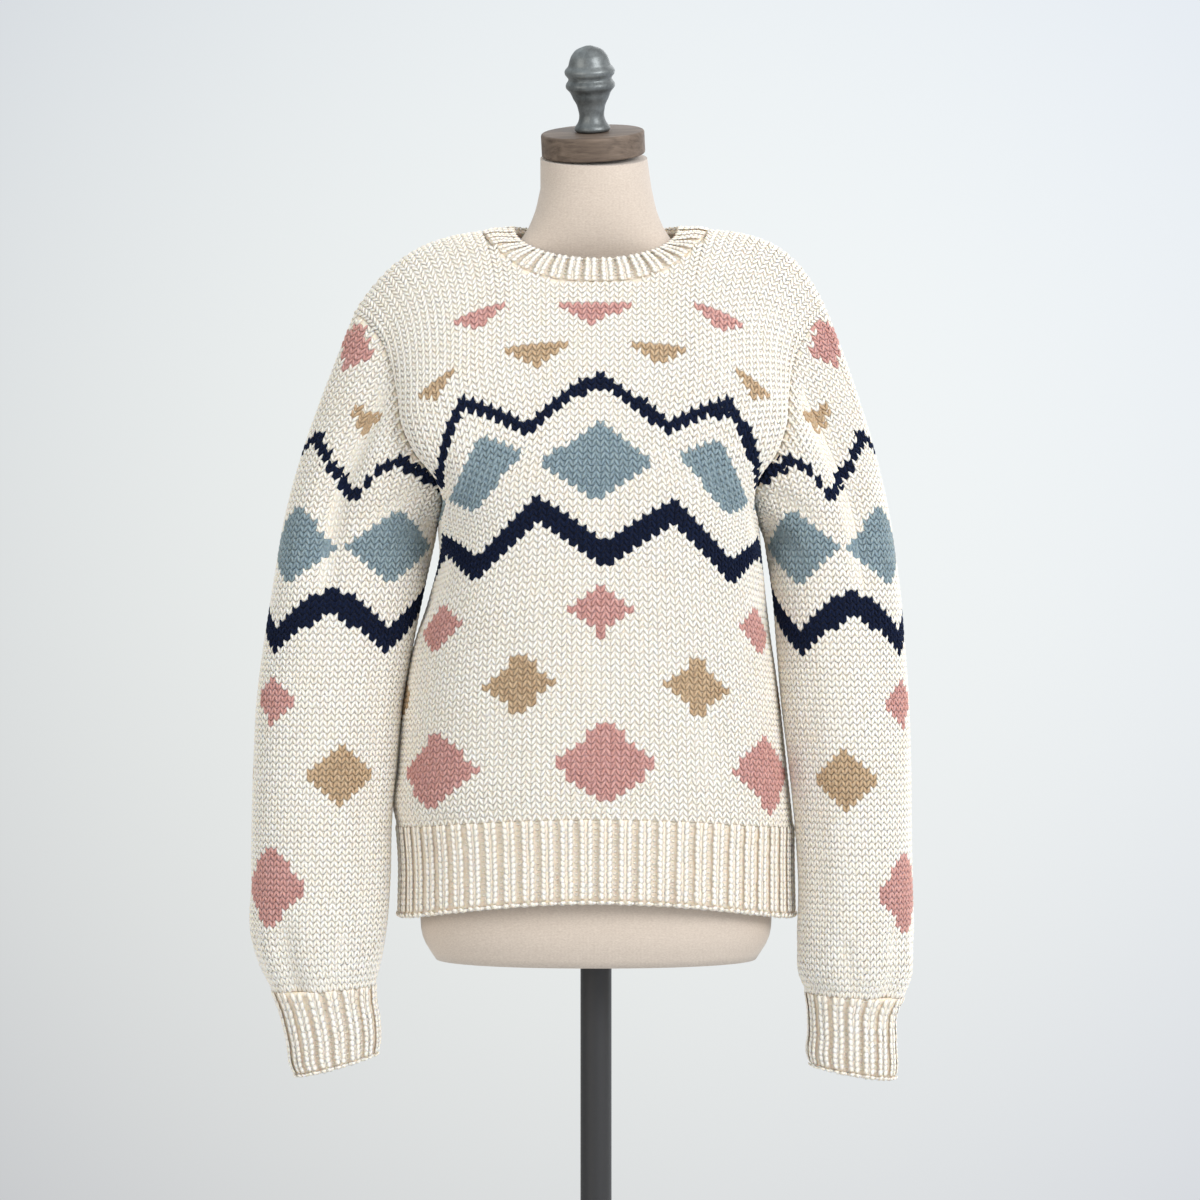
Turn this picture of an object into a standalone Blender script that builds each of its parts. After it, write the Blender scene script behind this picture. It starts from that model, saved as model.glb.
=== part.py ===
"""Hand-knitted crew-neck sweater, worn on a limbless dress form with a pole and a round base.

The front of the sweater faces -Y, +Z is up and the origin is on the floor under the pole.
Knit rows are numbered from the top of the hem rib, and stitches from the middle of each panel.
"Right" and "left" are the wearer's.
"""

import math

import bmesh
import bpy
import numpy as np

MM = 0.001

# Knitting gauge and piece sizes, in stitches and rows
HEM_ROW = -15
UNDERARM_ROW = 54
SHOULDER_ROW = 102
YOKE_HALF = 26
NECK_HALF = 11
FRONT_NECK_DROP = 17
BACK_NECK_DROP = 9
NECK_CURVE = 2.6
# Places of the neckline's points, as shares of NECK_HALF
NECK_PLACES = (0.28, 0.54, 0.75, 0.89, 0.97, 1.0)
ROW_HEIGHT = 5.5
CUFF_ROW = -13
SLEEVE_UNDERARM_ROW = 72

# Wall sizes, in millimetres
WALL = 4.0
RIB_HEIGHT = 3.0
SEAM_GAP = 0.6
BAND_GAP = 1.2
RIB_GAP = 0.6

# Ribs: one knit and one purl stitch each
HEM_RIBS_PER_PANEL = 30
CUFF_RIBS = 16
NECK_RIBS = 36
RIB_CREST = 0.52

# Outline of each panel. Across a row the outer face runs from its middle to its edge, the side seam
# below the underarm row and the armhole seam above it. "boxy" is the exponent of the oval between
# them, and "sag" the power by which the row sinks towards the edge.
PANEL_COLUMNS = (
    "row", "z_mid", "y_mid", "x_left", "x_right", "y_edge", "z_edge", "boxy", "sag_left", "sag_right",
)
FRONT_ROWS = (
    (-15, 787, -119, 179, 178, 16, 765, 2.15, 2.0, 2.0),
    (-4, 840, -123, 178, 178, 17, 824, 2.15, 2.0, 2.0),
    (0, 860, -125, 178, 180, 18, 846, 2.15, 2.0, 2.0),
    (4, 882, -127, 176, 184, 18, 867, 2.15, 2.0, 2.0),
    (9, 910, -128, 173, 181, 18, 894, 2.15, 2.0, 2.0),
    (21, 977, -130, 166, 175, 17, 957, 2.20, 2.0, 2.0),
    (33, 1045, -132, 157, 161, 13, 1021, 2.35, 2.0, 2.0),
    (38, 1074, -132, 153, 151, 10, 1050, 2.45, 2.1, 2.1),
    (45, 1114, -132, 149, 141, 6, 1086, 2.65, 2.2, 2.2),
    (54, 1166, -129, 145, 141, 0, 1120, 3.10, 2.4, 2.4),
    (58, 1188, -126, 140, 136, -38, 1137, 3.60, 2.6, 2.6),
    (62, 1210, -121, 143, 141, -60, 1155, 4.00, 2.8, 2.8),
    (67, 1237, -114, 158, 158, -69, 1178, 4.00, 3.0, 3.0),
    (72, 1264, -105, 167, 170, -66, 1202, 3.60, 3.2, 3.1),
    (78, 1295, -93, 170, 175, -58, 1230, 2.90, 3.5, 3.2),
    (84, 1325, -78, 174, 181, -48, 1256, 2.30, 4.0, 3.4),
    (90, 1352, -58, 183, 190, -37, 1279, 2.00, 4.8, 3.8),
    (96, 1375, -33, 197, 205, -22, 1298, 1.80, 5.8, 4.4),
    (99, 1382, -17, 205, 213, -12, 1305, 1.80, 6.2, 4.7),
    (102, 1384, 0, 209, 218, 0, 1309, 1.80, 6.4, 4.8),
)
BACK_ROWS = (
    (-15, 768, 117, 179, 178, 16, 765, 2.15, 2.0, 2.0),
    (-4, 828, 116, 178, 178, 17, 824, 2.15, 2.0, 2.0),
    (0, 850, 116, 178, 180, 18, 846, 2.15, 2.0, 2.0),
    (4, 872, 116, 176, 184, 18, 867, 2.15, 2.0, 2.0),
    (9, 901, 115, 173, 181, 18, 894, 2.15, 2.0, 2.0),
    (21, 969, 111, 166, 175, 17, 957, 2.20, 2.0, 2.0),
    (33, 1037, 107, 157, 161, 13, 1021, 2.30, 2.0, 2.0),
    (38, 1066, 106, 153, 151, 10, 1050, 2.35, 2.1, 2.1),
    (45, 1108, 105, 149, 141, 6, 1086, 2.45, 2.2, 2.2),
    (54, 1161, 106, 145, 141, 0, 1120, 2.60, 2.4, 2.4),
    (58, 1184, 107, 148, 144, 32, 1137, 2.70, 2.6, 2.6),
    (62, 1207, 108, 155, 153, 54, 1156, 2.70, 2.8, 2.8),
    (67, 1235, 108, 167, 167, 65, 1182, 2.60, 3.0, 3.0),
    (72, 1263, 107, 176, 178, 65, 1208, 2.50, 3.2, 3.1),
    (78, 1296, 102, 180, 184, 58, 1236, 2.30, 3.5, 3.2),
    (84, 1327, 89, 183, 189, 47, 1261, 2.10, 4.0, 3.4),
    (90, 1355, 67, 189, 196, 34, 1282, 1.90, 4.8, 3.8),
    (96, 1376, 37, 199, 207, 20, 1299, 1.80, 5.8, 4.4),
    (99, 1382, 19, 205, 213, 11, 1305, 1.80, 6.2, 4.7),
    (102, 1384, 0, 209, 218, 0, 1309, 1.80, 6.4, 4.8),
)

# Each sleeve and its cuff are level ovals up to the underarm. "out" is the distance from the middle of
# the body, "wide" and "deep" are half sizes, "turn" moves the outer line towards the front, in degrees,
# and "slant" is how much lower the outer side of the oval lies than the inner side.
SLEEVE_COLUMNS = ("row", "z", "out", "y", "wide", "deep", "turn", "slant")
RIGHT_SLEEVE_ROWS = (
    (-13, 634, 232, -20, 35.0, 29, 26, 19),
    (-11, 642, 233, -20, 38.5, 30, 26, 19),
    (-6, 666, 235, -20, 41.0, 31, 26, 17),
    (-2, 690, 240, -20, 43.0, 33, 26, 10),
    (0, 703, 243, -20, 46.0, 36, 26, 6),
    (3, 721, 246, -20, 53.0, 41, 26, 4),
    (8, 750, 248, -20, 60.0, 46, 26, 2),
    (17, 798, 246, -20, 62.0, 47, 26, 0),
    (27, 852, 245, -20, 62.5, 48, 26, 0),
    (37, 906, 242, -19, 64.0, 49, 25, 0),
    (47, 960, 238, -17, 65.5, 50, 22, 0),
    (57, 1014, 230, -13, 67.0, 53, 17, 0),
    (64, 1055, 223, -8, 68.0, 56, 12, 0),
    (72, 1100, 215, 0, 69.5, 59, 8, 0),
)
LEFT_SLEEVE_ROWS = (
    (-13, 628, 230, -20, 36.5, 30, 14, 12),
    (-11, 637, 229, -20, 39.0, 31, 14, 12),
    (-6, 661, 229, -20, 38.5, 31, 14, 10),
    (-2, 685, 229, -20, 39.5, 33, 14, 7),
    (0, 697, 231, -20, 43.5, 37, 14, 5),
    (3, 714, 232, -20, 50.5, 44, 14, 3),
    (8, 744, 232, -20, 52.0, 49, 14, 0),
    (17, 792, 232, -20, 51.0, 51, 14, 0),
    (27, 847, 230, -19, 52.0, 52, 14, 0),
    (37, 902, 227, -18, 54.5, 53, 13, 0),
    (47, 957, 223, -16, 57.0, 54, 12, 0),
    (57, 1012, 219, -12, 57.5, 56, 11, 0),
    (64, 1053, 216, -7, 57.5, 57, 10, 0),
    (72, 1100, 210, 0, 58.0, 59, 8, 0),
)

# Way in which the sleeve cloth meets the armhole seam, from the shoulder (around 0) to the underarm
# (around 1): how much it runs inwards, towards the middle depth of the body, and upwards.
CAP_COLUMNS = ("around", "inwards", "deeper", "upwards")
CAP_WAYS = (
    (0.00, 0.36, 0.00, 0.93),
    (0.25, 0.45, 0.20, 0.85),
    (0.50, 0.60, 0.45, 0.65),
    (0.75, 0.60, 0.40, 0.70),
    (1.00, 0.30, 0.00, 0.95),
)
CAP_PULL = 1.0

# Way in which the cloth faces at the lowest point of the armhole seam: down, and a little outwards
UNDERARM_WAY = np.array([0.2, 0.0, -0.98])

# Points inside the body, a sleeve and the neck, which tell outward from inward
CHEST_MIDDLE = np.array([60.0, 0.0, 1220.0])
SLEEVE_MIDDLE = np.array([195.0, 0.0, 1150.0])
NECK_MIDDLE = np.array([0.0, 0.0, 1355.0])
BESIDE_SEAM = 0.94

# Soft creases of the sleeves: a trough along one stitch column, "around" being the share of the way
# from the outer line to the inner one, deepest at its middle row.
CREASE_COLUMNS = ("around", "middle_row", "half_rows", "half_width", "depth")
SLEEVE_CREASES = (
    (0.34, 82, 20, 0.085, 9.0),
    (0.20, 3, 9, 0.080, 5.0),
    (0.66, 30, 26, 0.100, 3.0),
    (-0.36, 80, 18, 0.090, 7.0),
    (-0.30, 8, 10, 0.090, 4.0),
)

# Dress form: half width and the depths in front of and behind the pole at each height
FORM_COLUMNS = ("z", "half_width", "front", "back")
FORM_LEVELS = (
    (728, 144, 88, 90),
    (744, 154, 97, 98),
    (780, 158, 101, 101),
    (830, 158, 102, 100),
    (885, 150, 99, 94),
    (945, 133, 92, 83),
    (990, 121, 88, 76),
    (1040, 125, 97, 82),
    (1090, 131, 114, 90),
    (1130, 132, 121, 94),
    (1170, 136, 114, 97),
    (1215, 146, 98, 98),
    (1260, 153, 80, 94),
    (1295, 163, 62, 82),
    (1318, 166, 47, 64),
    (1336, 142, 35, 44),
    (1350, 112, 34, 36),
    (1364, 79, 41, 36),
    (1378, 65, 46, 38),
    (1396, 56, 50, 40),
    (1420, 50, 52, 41),
)
FORM_SIDES = 28
FORM_BOXY = 2.2

# Neck, cap and finial lean forwards together about the middle of the neck's top
NECK_RADIUS = 48.0
NECK_TOP = (-2.0, -6.0, 1447.0)
NECK_LEAN = 16.0
CAP_ROLL = 2.7
CAP_RADIUS = 46.5
CAP_THICKNESS = 21.0
# Finial's profile: radius and height of each turn of its outline
FINIAL_PROFILE = (
    (14.8, 0.0),
    (15.9, 1.2),
    (15.7, 3.6),
    (13.0, 7.6),
    (11.3, 13.0),
    (12.0, 19.5),
    (13.3, 24.3),
    (15.8, 29.0),
    (18.9, 35.6),
    (21.9, 39.2),
    (21.9, 42.2),
    (19.4, 46.6),
    (22.4, 51.6),
    (22.4, 54.4),
    (19.2, 58.4),
    (17.9, 62.6),
    (14.9, 68.8),
    (9.4, 73.6),
    (2.6, 76.0),
)
FINIAL_SIDES = 24
CAP_SIDES = 40

POLE_RADIUS = 14.0
SOCKET_RADIUS = 24.0
SOCKET_HEIGHT = 34.0
SOCKET_FLARE = 11.0
BASE_RADIUS = 200.0
BASE_EDGE = 7.0
BASE_HEIGHT = 12.0
BASE_SIDES = 48
POLE_SIDES = 24
RIM = 1.5

# Top edge of the neckband, an oval round the neck
BAND_HALF_WIDTH = 74.0
BAND_FRONT = 63.0
BAND_BACK = 54.0
BAND_SIDE_Z = 1385.0
BAND_FRONT_DROP = 34.0
BAND_BACK_RISE = 4.0
BAND_BULGE = 1.5

FORM_COLOUR = (0.74, 0.65, 0.56)
CREAM = (0.86, 0.80, 0.70)
CAP_COLOUR = (0.12, 0.085, 0.065)
FINIAL_COLOUR = (0.16, 0.17, 0.175)
STAND_COLOUR = (0.05, 0.05, 0.052)


def unit(vectors):
    """The vectors, each at length 1."""
    return vectors / np.maximum(np.linalg.norm(vectors, axis=-1, keepdims=True), 1e-9)


def smooth(table, columns, name, at):
    """One column of a table at any value of its first column, on a smooth curve through its rows."""
    table = np.asarray(table, float)
    xs = table[:, 0]
    ys = table[:, columns.index(name)]
    at = np.clip(np.asarray(at, float), xs[0], xs[-1])
    slope = np.gradient(ys, xs)
    k = np.clip(np.searchsorted(xs, at, side="right") - 1, 0, len(xs) - 2)
    width = xs[k + 1] - xs[k]
    t = (at - xs[k]) / width
    start = ys[k] * (1 + 2 * t) * (1 - t) ** 2 + width * slope[k] * t * (1 - t) ** 2
    end = ys[k + 1] * t**2 * (3 - 2 * t) - width * slope[k + 1] * t**2 * (1 - t)
    return start + end


def along(lines, shares):
    """The point of each polyline (first axis) at its share of the polyline's length."""
    steps = np.linalg.norm(np.diff(lines, axis=1), axis=2)
    run = np.concatenate([np.zeros((len(lines), 1)), np.cumsum(steps, axis=1)], axis=1)
    target = shares * run[:, -1]
    k = np.clip((run <= target[:, None]).sum(axis=1) - 1, 0, steps.shape[1] - 1)
    each = np.arange(len(lines))
    t = (target - run[each, k]) / np.maximum(steps[each, k], 1e-9)
    return lines[each, k] + t[:, None] * (lines[each, k + 1] - lines[each, k])


def panel_points(table, rows, shares, steps=72):
    """Outer face of a panel at knit rows and places across, -1 to 1 from edge to edge."""
    rows, shares = np.broadcast_arrays(np.asarray(rows, float), np.asarray(shares, float))
    shape = rows.shape
    rows = rows.ravel()
    shares = shares.ravel()
    value = {name: smooth(table, PANEL_COLUMNS, name, rows)[:, None] for name in PANEL_COLUMNS[1:]}
    right = (shares < 0)[:, None]
    x_edge = np.where(right, value["x_right"], value["x_left"])
    sag = np.where(right, value["sag_right"], value["sag_left"])
    turn = np.linspace(0, math.pi / 2, steps)[None, :]
    out = np.sin(turn) ** (2 / value["boxy"])
    forward = np.cos(turn) ** (2 / value["boxy"])
    line = np.stack(
        [
            x_edge * out,
            value["y_edge"] + (value["y_mid"] - value["y_edge"]) * forward,
            value["z_mid"] + (value["z_edge"] - value["z_mid"]) * out**sag,
        ],
        axis=2,
    )
    points = along(line, np.abs(shares))
    points[:, 0] *= np.sign(shares)
    return points.reshape(*shape, 3)


def panel_normals(table, rows, shares):
    """Outward unit normals of a panel's outer face, from the points just beside each one."""
    up = panel_points(table, rows + 0.5, shares) - panel_points(table, rows - 0.5, shares)
    across = panel_points(table, rows, shares + 0.01) - panel_points(table, rows, shares - 0.01)
    normals = unit(np.cross(across, up))
    return normals if table is FRONT_ROWS else -normals


def sleeve_table(side):
    """The sleeve's table: side is -1 for the wearer's right, 1 for the left."""
    return RIGHT_SLEEVE_ROWS if side < 0 else LEFT_SLEEVE_ROWS


def sleeve_ring(side, rows, around, steps=181):
    """Points of the level part of a sleeve. around runs from -1, inner line at the back, through 0,
    the outer line, to 1, the inner line again."""
    rows, around = np.broadcast_arrays(np.asarray(rows, float), np.asarray(around, float))
    shape = rows.shape
    rows = rows.ravel()
    around = around.ravel()
    value = {
        name: smooth(sleeve_table(side), SLEEVE_COLUMNS, name, rows)[:, None]
        for name in SLEEVE_COLUMNS[1:]
    }
    turn = np.linspace(0, math.pi, steps)[None, :] * np.where(around < 0, -1, 1)[:, None]
    turn = turn + np.radians(value["turn"])
    line = np.stack(
        [
            side * (value["out"] + value["wide"] * np.cos(turn)),
            value["y"] - value["deep"] * np.sin(turn),
            value["z"] - value["slant"] / 2 * np.cos(turn),
        ],
        axis=2,
    )
    return along(line, np.abs(around)).reshape(*shape, 3)


def armhole_point(side, around):
    """The armhole seam, from the shoulder tip (around 0) to the underarm (1 in front, -1 behind)."""
    around = np.asarray(around, float).ravel()
    rows = np.linspace(SHOULDER_ROW, UNDERARM_ROW, 97)
    front = panel_points(FRONT_ROWS, rows, side)
    back = panel_points(BACK_ROWS, rows, side)
    lines = np.where((around >= 0)[:, None, None], front[None], back[None])
    return along(lines, np.abs(around))


def cap_way(side, around):
    """The way in which the sleeve cloth runs where it reaches the armhole seam."""
    way = {name: smooth(CAP_WAYS, CAP_COLUMNS, name, np.abs(around)) for name in CAP_COLUMNS[1:]}
    return unit(
        np.stack([-side * way["inwards"], np.sign(around) * way["deeper"], way["upwards"]], axis=-1)
    )


def cap_lines(side, around, steps=33):
    """One line for each place around the sleeve, from the level ring at the underarm to the armhole."""
    around = np.asarray(around, float).ravel()
    low = sleeve_ring(side, SLEEVE_UNDERARM_ROW, around)
    below = sleeve_ring(side, SLEEVE_UNDERARM_ROW - 4, around)
    high = armhole_point(side, around)
    length = np.linalg.norm(high - low, axis=1)[:, None]
    rise = unit(low - below)
    enter = cap_way(side, around)
    t = np.linspace(0, 1, steps)[None, :, None]
    start = low[:, None] * (1 + 2 * t) * (1 - t) ** 2 + (rise * length)[:, None] * t * (1 - t) ** 2
    end = high[:, None] * t**2 * (3 - 2 * t)
    return start + end - (enter * length * CAP_PULL)[:, None] * t**2 * (1 - t)


def ring_normals(points):
    """Outward unit normals of a grid of points whose columns close on themselves."""
    wrapped = np.concatenate([points[:, -1:], points, points[:, :1]], axis=1)
    normals = unit(np.cross(np.gradient(wrapped, axis=1), np.gradient(wrapped, axis=0)))[:, 1:-1]
    away = points - points.mean(axis=1, keepdims=True)
    return normals * np.sign(np.median(np.einsum("ijk,ijk->ij", normals, away)))


def add_object(name, mesh, colour, roughness, metallic=0.0):
    """A scene object for a finished mesh, with its own plain material."""
    material = bpy.data.materials.new(name + "_material")
    material.use_nodes = True
    shader = material.node_tree.nodes["Principled BSDF"]
    shader.inputs["Base Color"].default_value = (*colour, 1)
    shader.inputs["Roughness"].default_value = roughness
    shader.inputs["Metallic"].default_value = metallic
    mesh.materials.append(material)
    piece = bpy.data.objects.new(name, mesh)
    bpy.context.scene.collection.objects.link(piece)
    return piece


def build_wall(name, outer, inner, closed):
    """A cloth wall between two grids of points: rows run up, columns across. A closed wall is a tube."""
    rows, columns = outer.shape[:2]
    bm = bmesh.new()
    skins = []
    for grid in (outer, inner):
        skins.append([[bm.verts.new(point * MM) for point in row] for row in grid])
    spans = columns if closed else columns - 1
    for skin, flip in zip(skins, (False, True)):
        for i in range(rows - 1):
            for j in range(spans):
                k = (j + 1) % columns
                corners = (skin[i][j], skin[i][k], skin[i + 1][k], skin[i + 1][j])
                bm.faces.new(corners[::-1] if flip else corners)
    for i in (0, rows - 1):
        for j in range(spans):
            k = (j + 1) % columns
            corners = (skins[0][i][j], skins[1][i][j], skins[1][i][k], skins[0][i][k])
            bm.faces.new(corners if i == 0 else corners[::-1])
    if not closed:
        for j in (0, columns - 1):
            for i in range(rows - 1):
                corners = (skins[0][i][j], skins[0][i + 1][j], skins[1][i + 1][j], skins[1][i][j])
                bm.faces.new(corners if j == 0 else corners[::-1])
    bmesh.ops.recalc_face_normals(bm, faces=bm.faces[:])
    mesh = bpy.data.meshes.new(name)
    bm.to_mesh(mesh)
    bm.free()
    mesh.shade_smooth()
    mesh.set_sharp_from_angle(angle=math.radians(50))
    return add_object(name, mesh, CREAM, 0.9)


def neck_top_row(share, drop):
    """The knit row at which the neckline cuts a place across the yoke."""
    c = np.minimum(np.abs(np.asarray(share, float)) * YOKE_HALF / NECK_HALF, 1)
    return SHOULDER_ROW - drop * (1 - c**NECK_CURVE) ** (1 / NECK_CURVE)


def panel_places(drop):
    """Knit rows and places across of a panel's grid, from the rib to the shoulders and the neckline."""
    neck = NECK_HALF / YOKE_HALF
    half = [neck * k for k in NECK_PLACES] + [neck + (1 - neck) * k / 6 for k in range(1, 7)]
    shares = np.array([-share for share in half[::-1]] + [0.0] + half)
    levels = np.concatenate([np.linspace(0, UNDERARM_ROW, 7)[:-1], armhole_levels()])
    top = neck_top_row(shares, drop)
    above = np.maximum(levels[:, None] - UNDERARM_ROW, 0)
    shrink = (top - UNDERARM_ROW) / (SHOULDER_ROW - UNDERARM_ROW)
    rows = np.minimum(levels, UNDERARM_ROW)[:, None] + above * shrink[None, :]
    return np.broadcast_arrays(rows, shares[None, :])


def armhole_levels():
    """Knit rows of the seam points that the panels and the sleeve share."""
    return np.append(UNDERARM_ROW, np.linspace(UNDERARM_ROW + 2, SHOULDER_ROW, 13))


def outward_normal(first, second, away):
    """Unit normals of two directions each, on the side that away lies."""
    normal = unit(np.cross(first, second))
    return normal * np.sign(np.einsum("ij,ij->i", normal, away))[:, None]


def armhole_loop(side):
    """The armhole seam, from the shoulder down its front and up its back: its points, the outward
    direction and the way from body to sleeve at each, and its place around the sleeve."""
    rows = armhole_levels()[::-1]
    shares = side * np.array([BESIDE_SEAM, 1.0])
    front = panel_points(FRONT_ROWS, rows[:, None], shares[None, :])
    back = panel_points(BACK_ROWS, rows[:, None], shares[None, :])
    places = []
    for half in (front, back):
        run = np.concatenate([[0], np.cumsum(np.linalg.norm(np.diff(half[:, 1], axis=0), axis=1))])
        places.append(run / run[-1])
    around = np.concatenate([places[0], -places[1][-2:0:-1]])
    both = np.concatenate([front, back[-2:0:-1]])
    edge = both[:, 1]
    tips = [0, len(rows) - 1]
    body_way = edge - both[:, 0]
    body_way[tips, 1] = 0
    run = np.roll(edge, -1, axis=0) - np.roll(edge, 1, axis=0)
    run[tips, 0] = 0
    run[tips, 2] = 0
    normal = outward_normal(body_way, run, edge - CHEST_MIDDLE * [side, 1, 1])
    normal += outward_normal(cap_way(side, around), run, edge - SLEEVE_MIDDLE * [side, 1, 1])
    normal[tips[1]] = UNDERARM_WAY * [side, 1, 1]
    normal = unit(normal)
    across = unit(np.cross(run, normal))
    across *= np.sign(across[:, 0] * side)[:, None]
    return edge, normal, across, around


def build_panel(name, table, drop, facing):
    """The front (facing -1) or the back (facing 1), its edges set back from the seams by half a gap."""
    rows, shares = panel_places(drop)
    outer = panel_points(table, rows, shares)
    normals = panel_normals(table, rows, shares)
    levels = len(armhole_levels())
    first = len(outer) - levels
    for column, side in ((0, -1), (-1, 1)):
        edge, normal, across, _ = armhole_loop(side)
        up = np.arange(levels)[::-1] if facing < 0 else np.arange(levels - 1, 2 * levels - 1) % len(edge)
        normals[first:, column] = normal[up]
        normals[:first, column, 1] = 0
        outer[first:, column] = edge[up] - across[up] * SEAM_GAP / 2
        outer[: first + 1, column, 1] += facing * SEAM_GAP / 2
    shoulder = np.abs(shares[-1]) >= NECK_HALF / YOKE_HALF - 1e-6
    normals[-1, shoulder, 1] = 0
    outer[-1, shoulder, 1] += facing * SEAM_GAP / 2
    outer[0, :, 2] += RIB_GAP / 2
    normals /= np.linalg.norm(normals, axis=2, keepdims=True)
    inner = outer - WALL * normals
    inner[0, :, 2] = outer[0, :, 2]
    build_wall(name, outer, inner, closed=False)
    neck = np.abs(shares[-1]) <= NECK_HALF / YOKE_HALF + 1e-6
    return outer[-1, neck], normals[-1, neck]


def rib_wave(count, closed):
    """Places along a ribbed band, from 0 to 1, and whether each is on a crest (1) or in a groove (0)."""
    places = []
    crests = []
    for k in range(count):
        for offset, crest in ((0, 0), ((1 - RIB_CREST) / 2, 1), ((1 + RIB_CREST) / 2, 1)):
            places.append((k + offset) / count)
            crests.append(crest)
    if not closed:
        places.append(1.0)
        crests.append(0)
    return np.array(places), np.array(crests, float)


def build_hem(name, table, facing):
    """Hem rib below one panel: crests raised on the outer face over a plain inside."""
    places, crests = rib_wave(HEM_RIBS_PER_PANEL, closed=False)
    rows = np.array([HEM_ROW, HEM_ROW + 1.5, HEM_ROW / 2, 0.0])
    pinch = np.array([-1.6, 0.0, 0.0, 0.0])
    face = panel_points(table, rows[:, None], (places * 2 - 1)[None, :])
    normals = panel_normals(table, rows[:, None], (places * 2 - 1)[None, :])
    normals[:, (0, -1), 1] = 0
    face[:, (0, -1), 1] += facing * SEAM_GAP / 2
    face[-1, :, 2] -= RIB_GAP / 2
    normals[:, :, 2] = 0
    normals /= np.linalg.norm(normals, axis=2, keepdims=True)
    relief = (crests - 0.5)[None, :, None] * RIB_HEIGHT + pinch[:, None, None]
    inner_depth = WALL + RIB_HEIGHT / 2
    build_wall(name, face + normals * relief, face - normals * inner_depth, closed=False)


def crease_depth(rows, around):
    """How far the sleeve's soft creases sink below its full outline."""
    depth = np.zeros(np.broadcast(rows, around).shape)
    for place, middle, half_rows, half_width, deep in SLEEVE_CREASES:
        along_it = np.exp(-(((rows - middle) / half_rows) ** 2))
        across_it = np.exp(-(((around - place) / half_width) ** 2))
        depth = depth + deep * along_it * across_it
    return depth


def sleeve_grid(side, around):
    """Outer points of a sleeve from the cuff to the armhole, and the knit row of each."""
    levels = np.array([0, 3, 8, 16, 26, 36, 46, 55, 64, SLEEVE_UNDERARM_ROW], float)
    tube = sleeve_ring(side, levels[:, None], around[None, :])
    caps = cap_lines(side, around)
    cap_shares = np.array([0.16, 0.33, 0.5, 0.66, 0.82, 0.93, 1.0])
    cap = np.stack([along(caps, np.full(len(around), share)) for share in cap_shares])
    lengths_up = np.linalg.norm(np.diff(caps, axis=1), axis=2).sum(axis=1)
    cap_rows = SLEEVE_UNDERARM_ROW + cap_shares[:, None] * lengths_up[None, :] / ROW_HEIGHT
    rows = np.concatenate([np.repeat(levels[:, None], len(around), axis=1), cap_rows])
    return np.concatenate([tube, cap]), rows


def build_sleeve(name, side):
    """A set-in sleeve: level rings that turn into the armhole seam, with soft creases."""
    edge, seam_normal, across, around = armhole_loop(side)
    outer, rows = sleeve_grid(side, around)
    normals = ring_normals(outer)
    fade = np.ones(outer.shape[:2])
    fade[-2] = 0.4
    fade[-1] = 0
    outer = outer - normals * (crease_depth(rows, around[None, :]) * fade)[:, :, None]
    normals = ring_normals(outer)
    outer[-1] = edge + across * SEAM_GAP / 2
    normals[-1] = seam_normal
    outer[0, :, 2] += RIB_GAP / 2
    inner = outer - WALL * normals
    inner[0, :, 2] = outer[0, :, 2]
    build_wall(name, outer, inner, closed=True)


def build_cuff(name, side):
    """Ribbed cuff below a sleeve."""
    places, crests = rib_wave(CUFF_RIBS, closed=True)
    rows = np.array([CUFF_ROW, CUFF_ROW + 1.5, -6.0, -2.5, 0.0])
    pinch = np.array([-1.4, 0.0, 0.0, 0.0, 0.0])
    face = sleeve_ring(side, rows[:, None], (places * 2 - 1)[None, :])
    normals = ring_normals(face)
    normals[:, :, 2] = 0
    normals /= np.linalg.norm(normals, axis=2, keepdims=True)
    relief = (crests - 0.5)[None, :, None] * RIB_HEIGHT + pinch[:, None, None]
    face[-1, :, 2] -= RIB_GAP / 2
    build_wall(name, face + normals * relief, face - normals * (WALL + RIB_HEIGHT / 2), closed=True)


def band_top(angle):
    """Top edge of the neckband at an angle round the neck, 0 at the front."""
    front = np.cos(angle) > 0
    y = -np.cos(angle) * np.where(front, BAND_FRONT, BAND_BACK)
    z = BAND_SIDE_Z - np.cos(angle) * np.where(front, BAND_FRONT_DROP, BAND_BACK_RISE)
    return np.stack([BAND_HALF_WIDTH * np.sin(angle), y, z], axis=-1)


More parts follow.
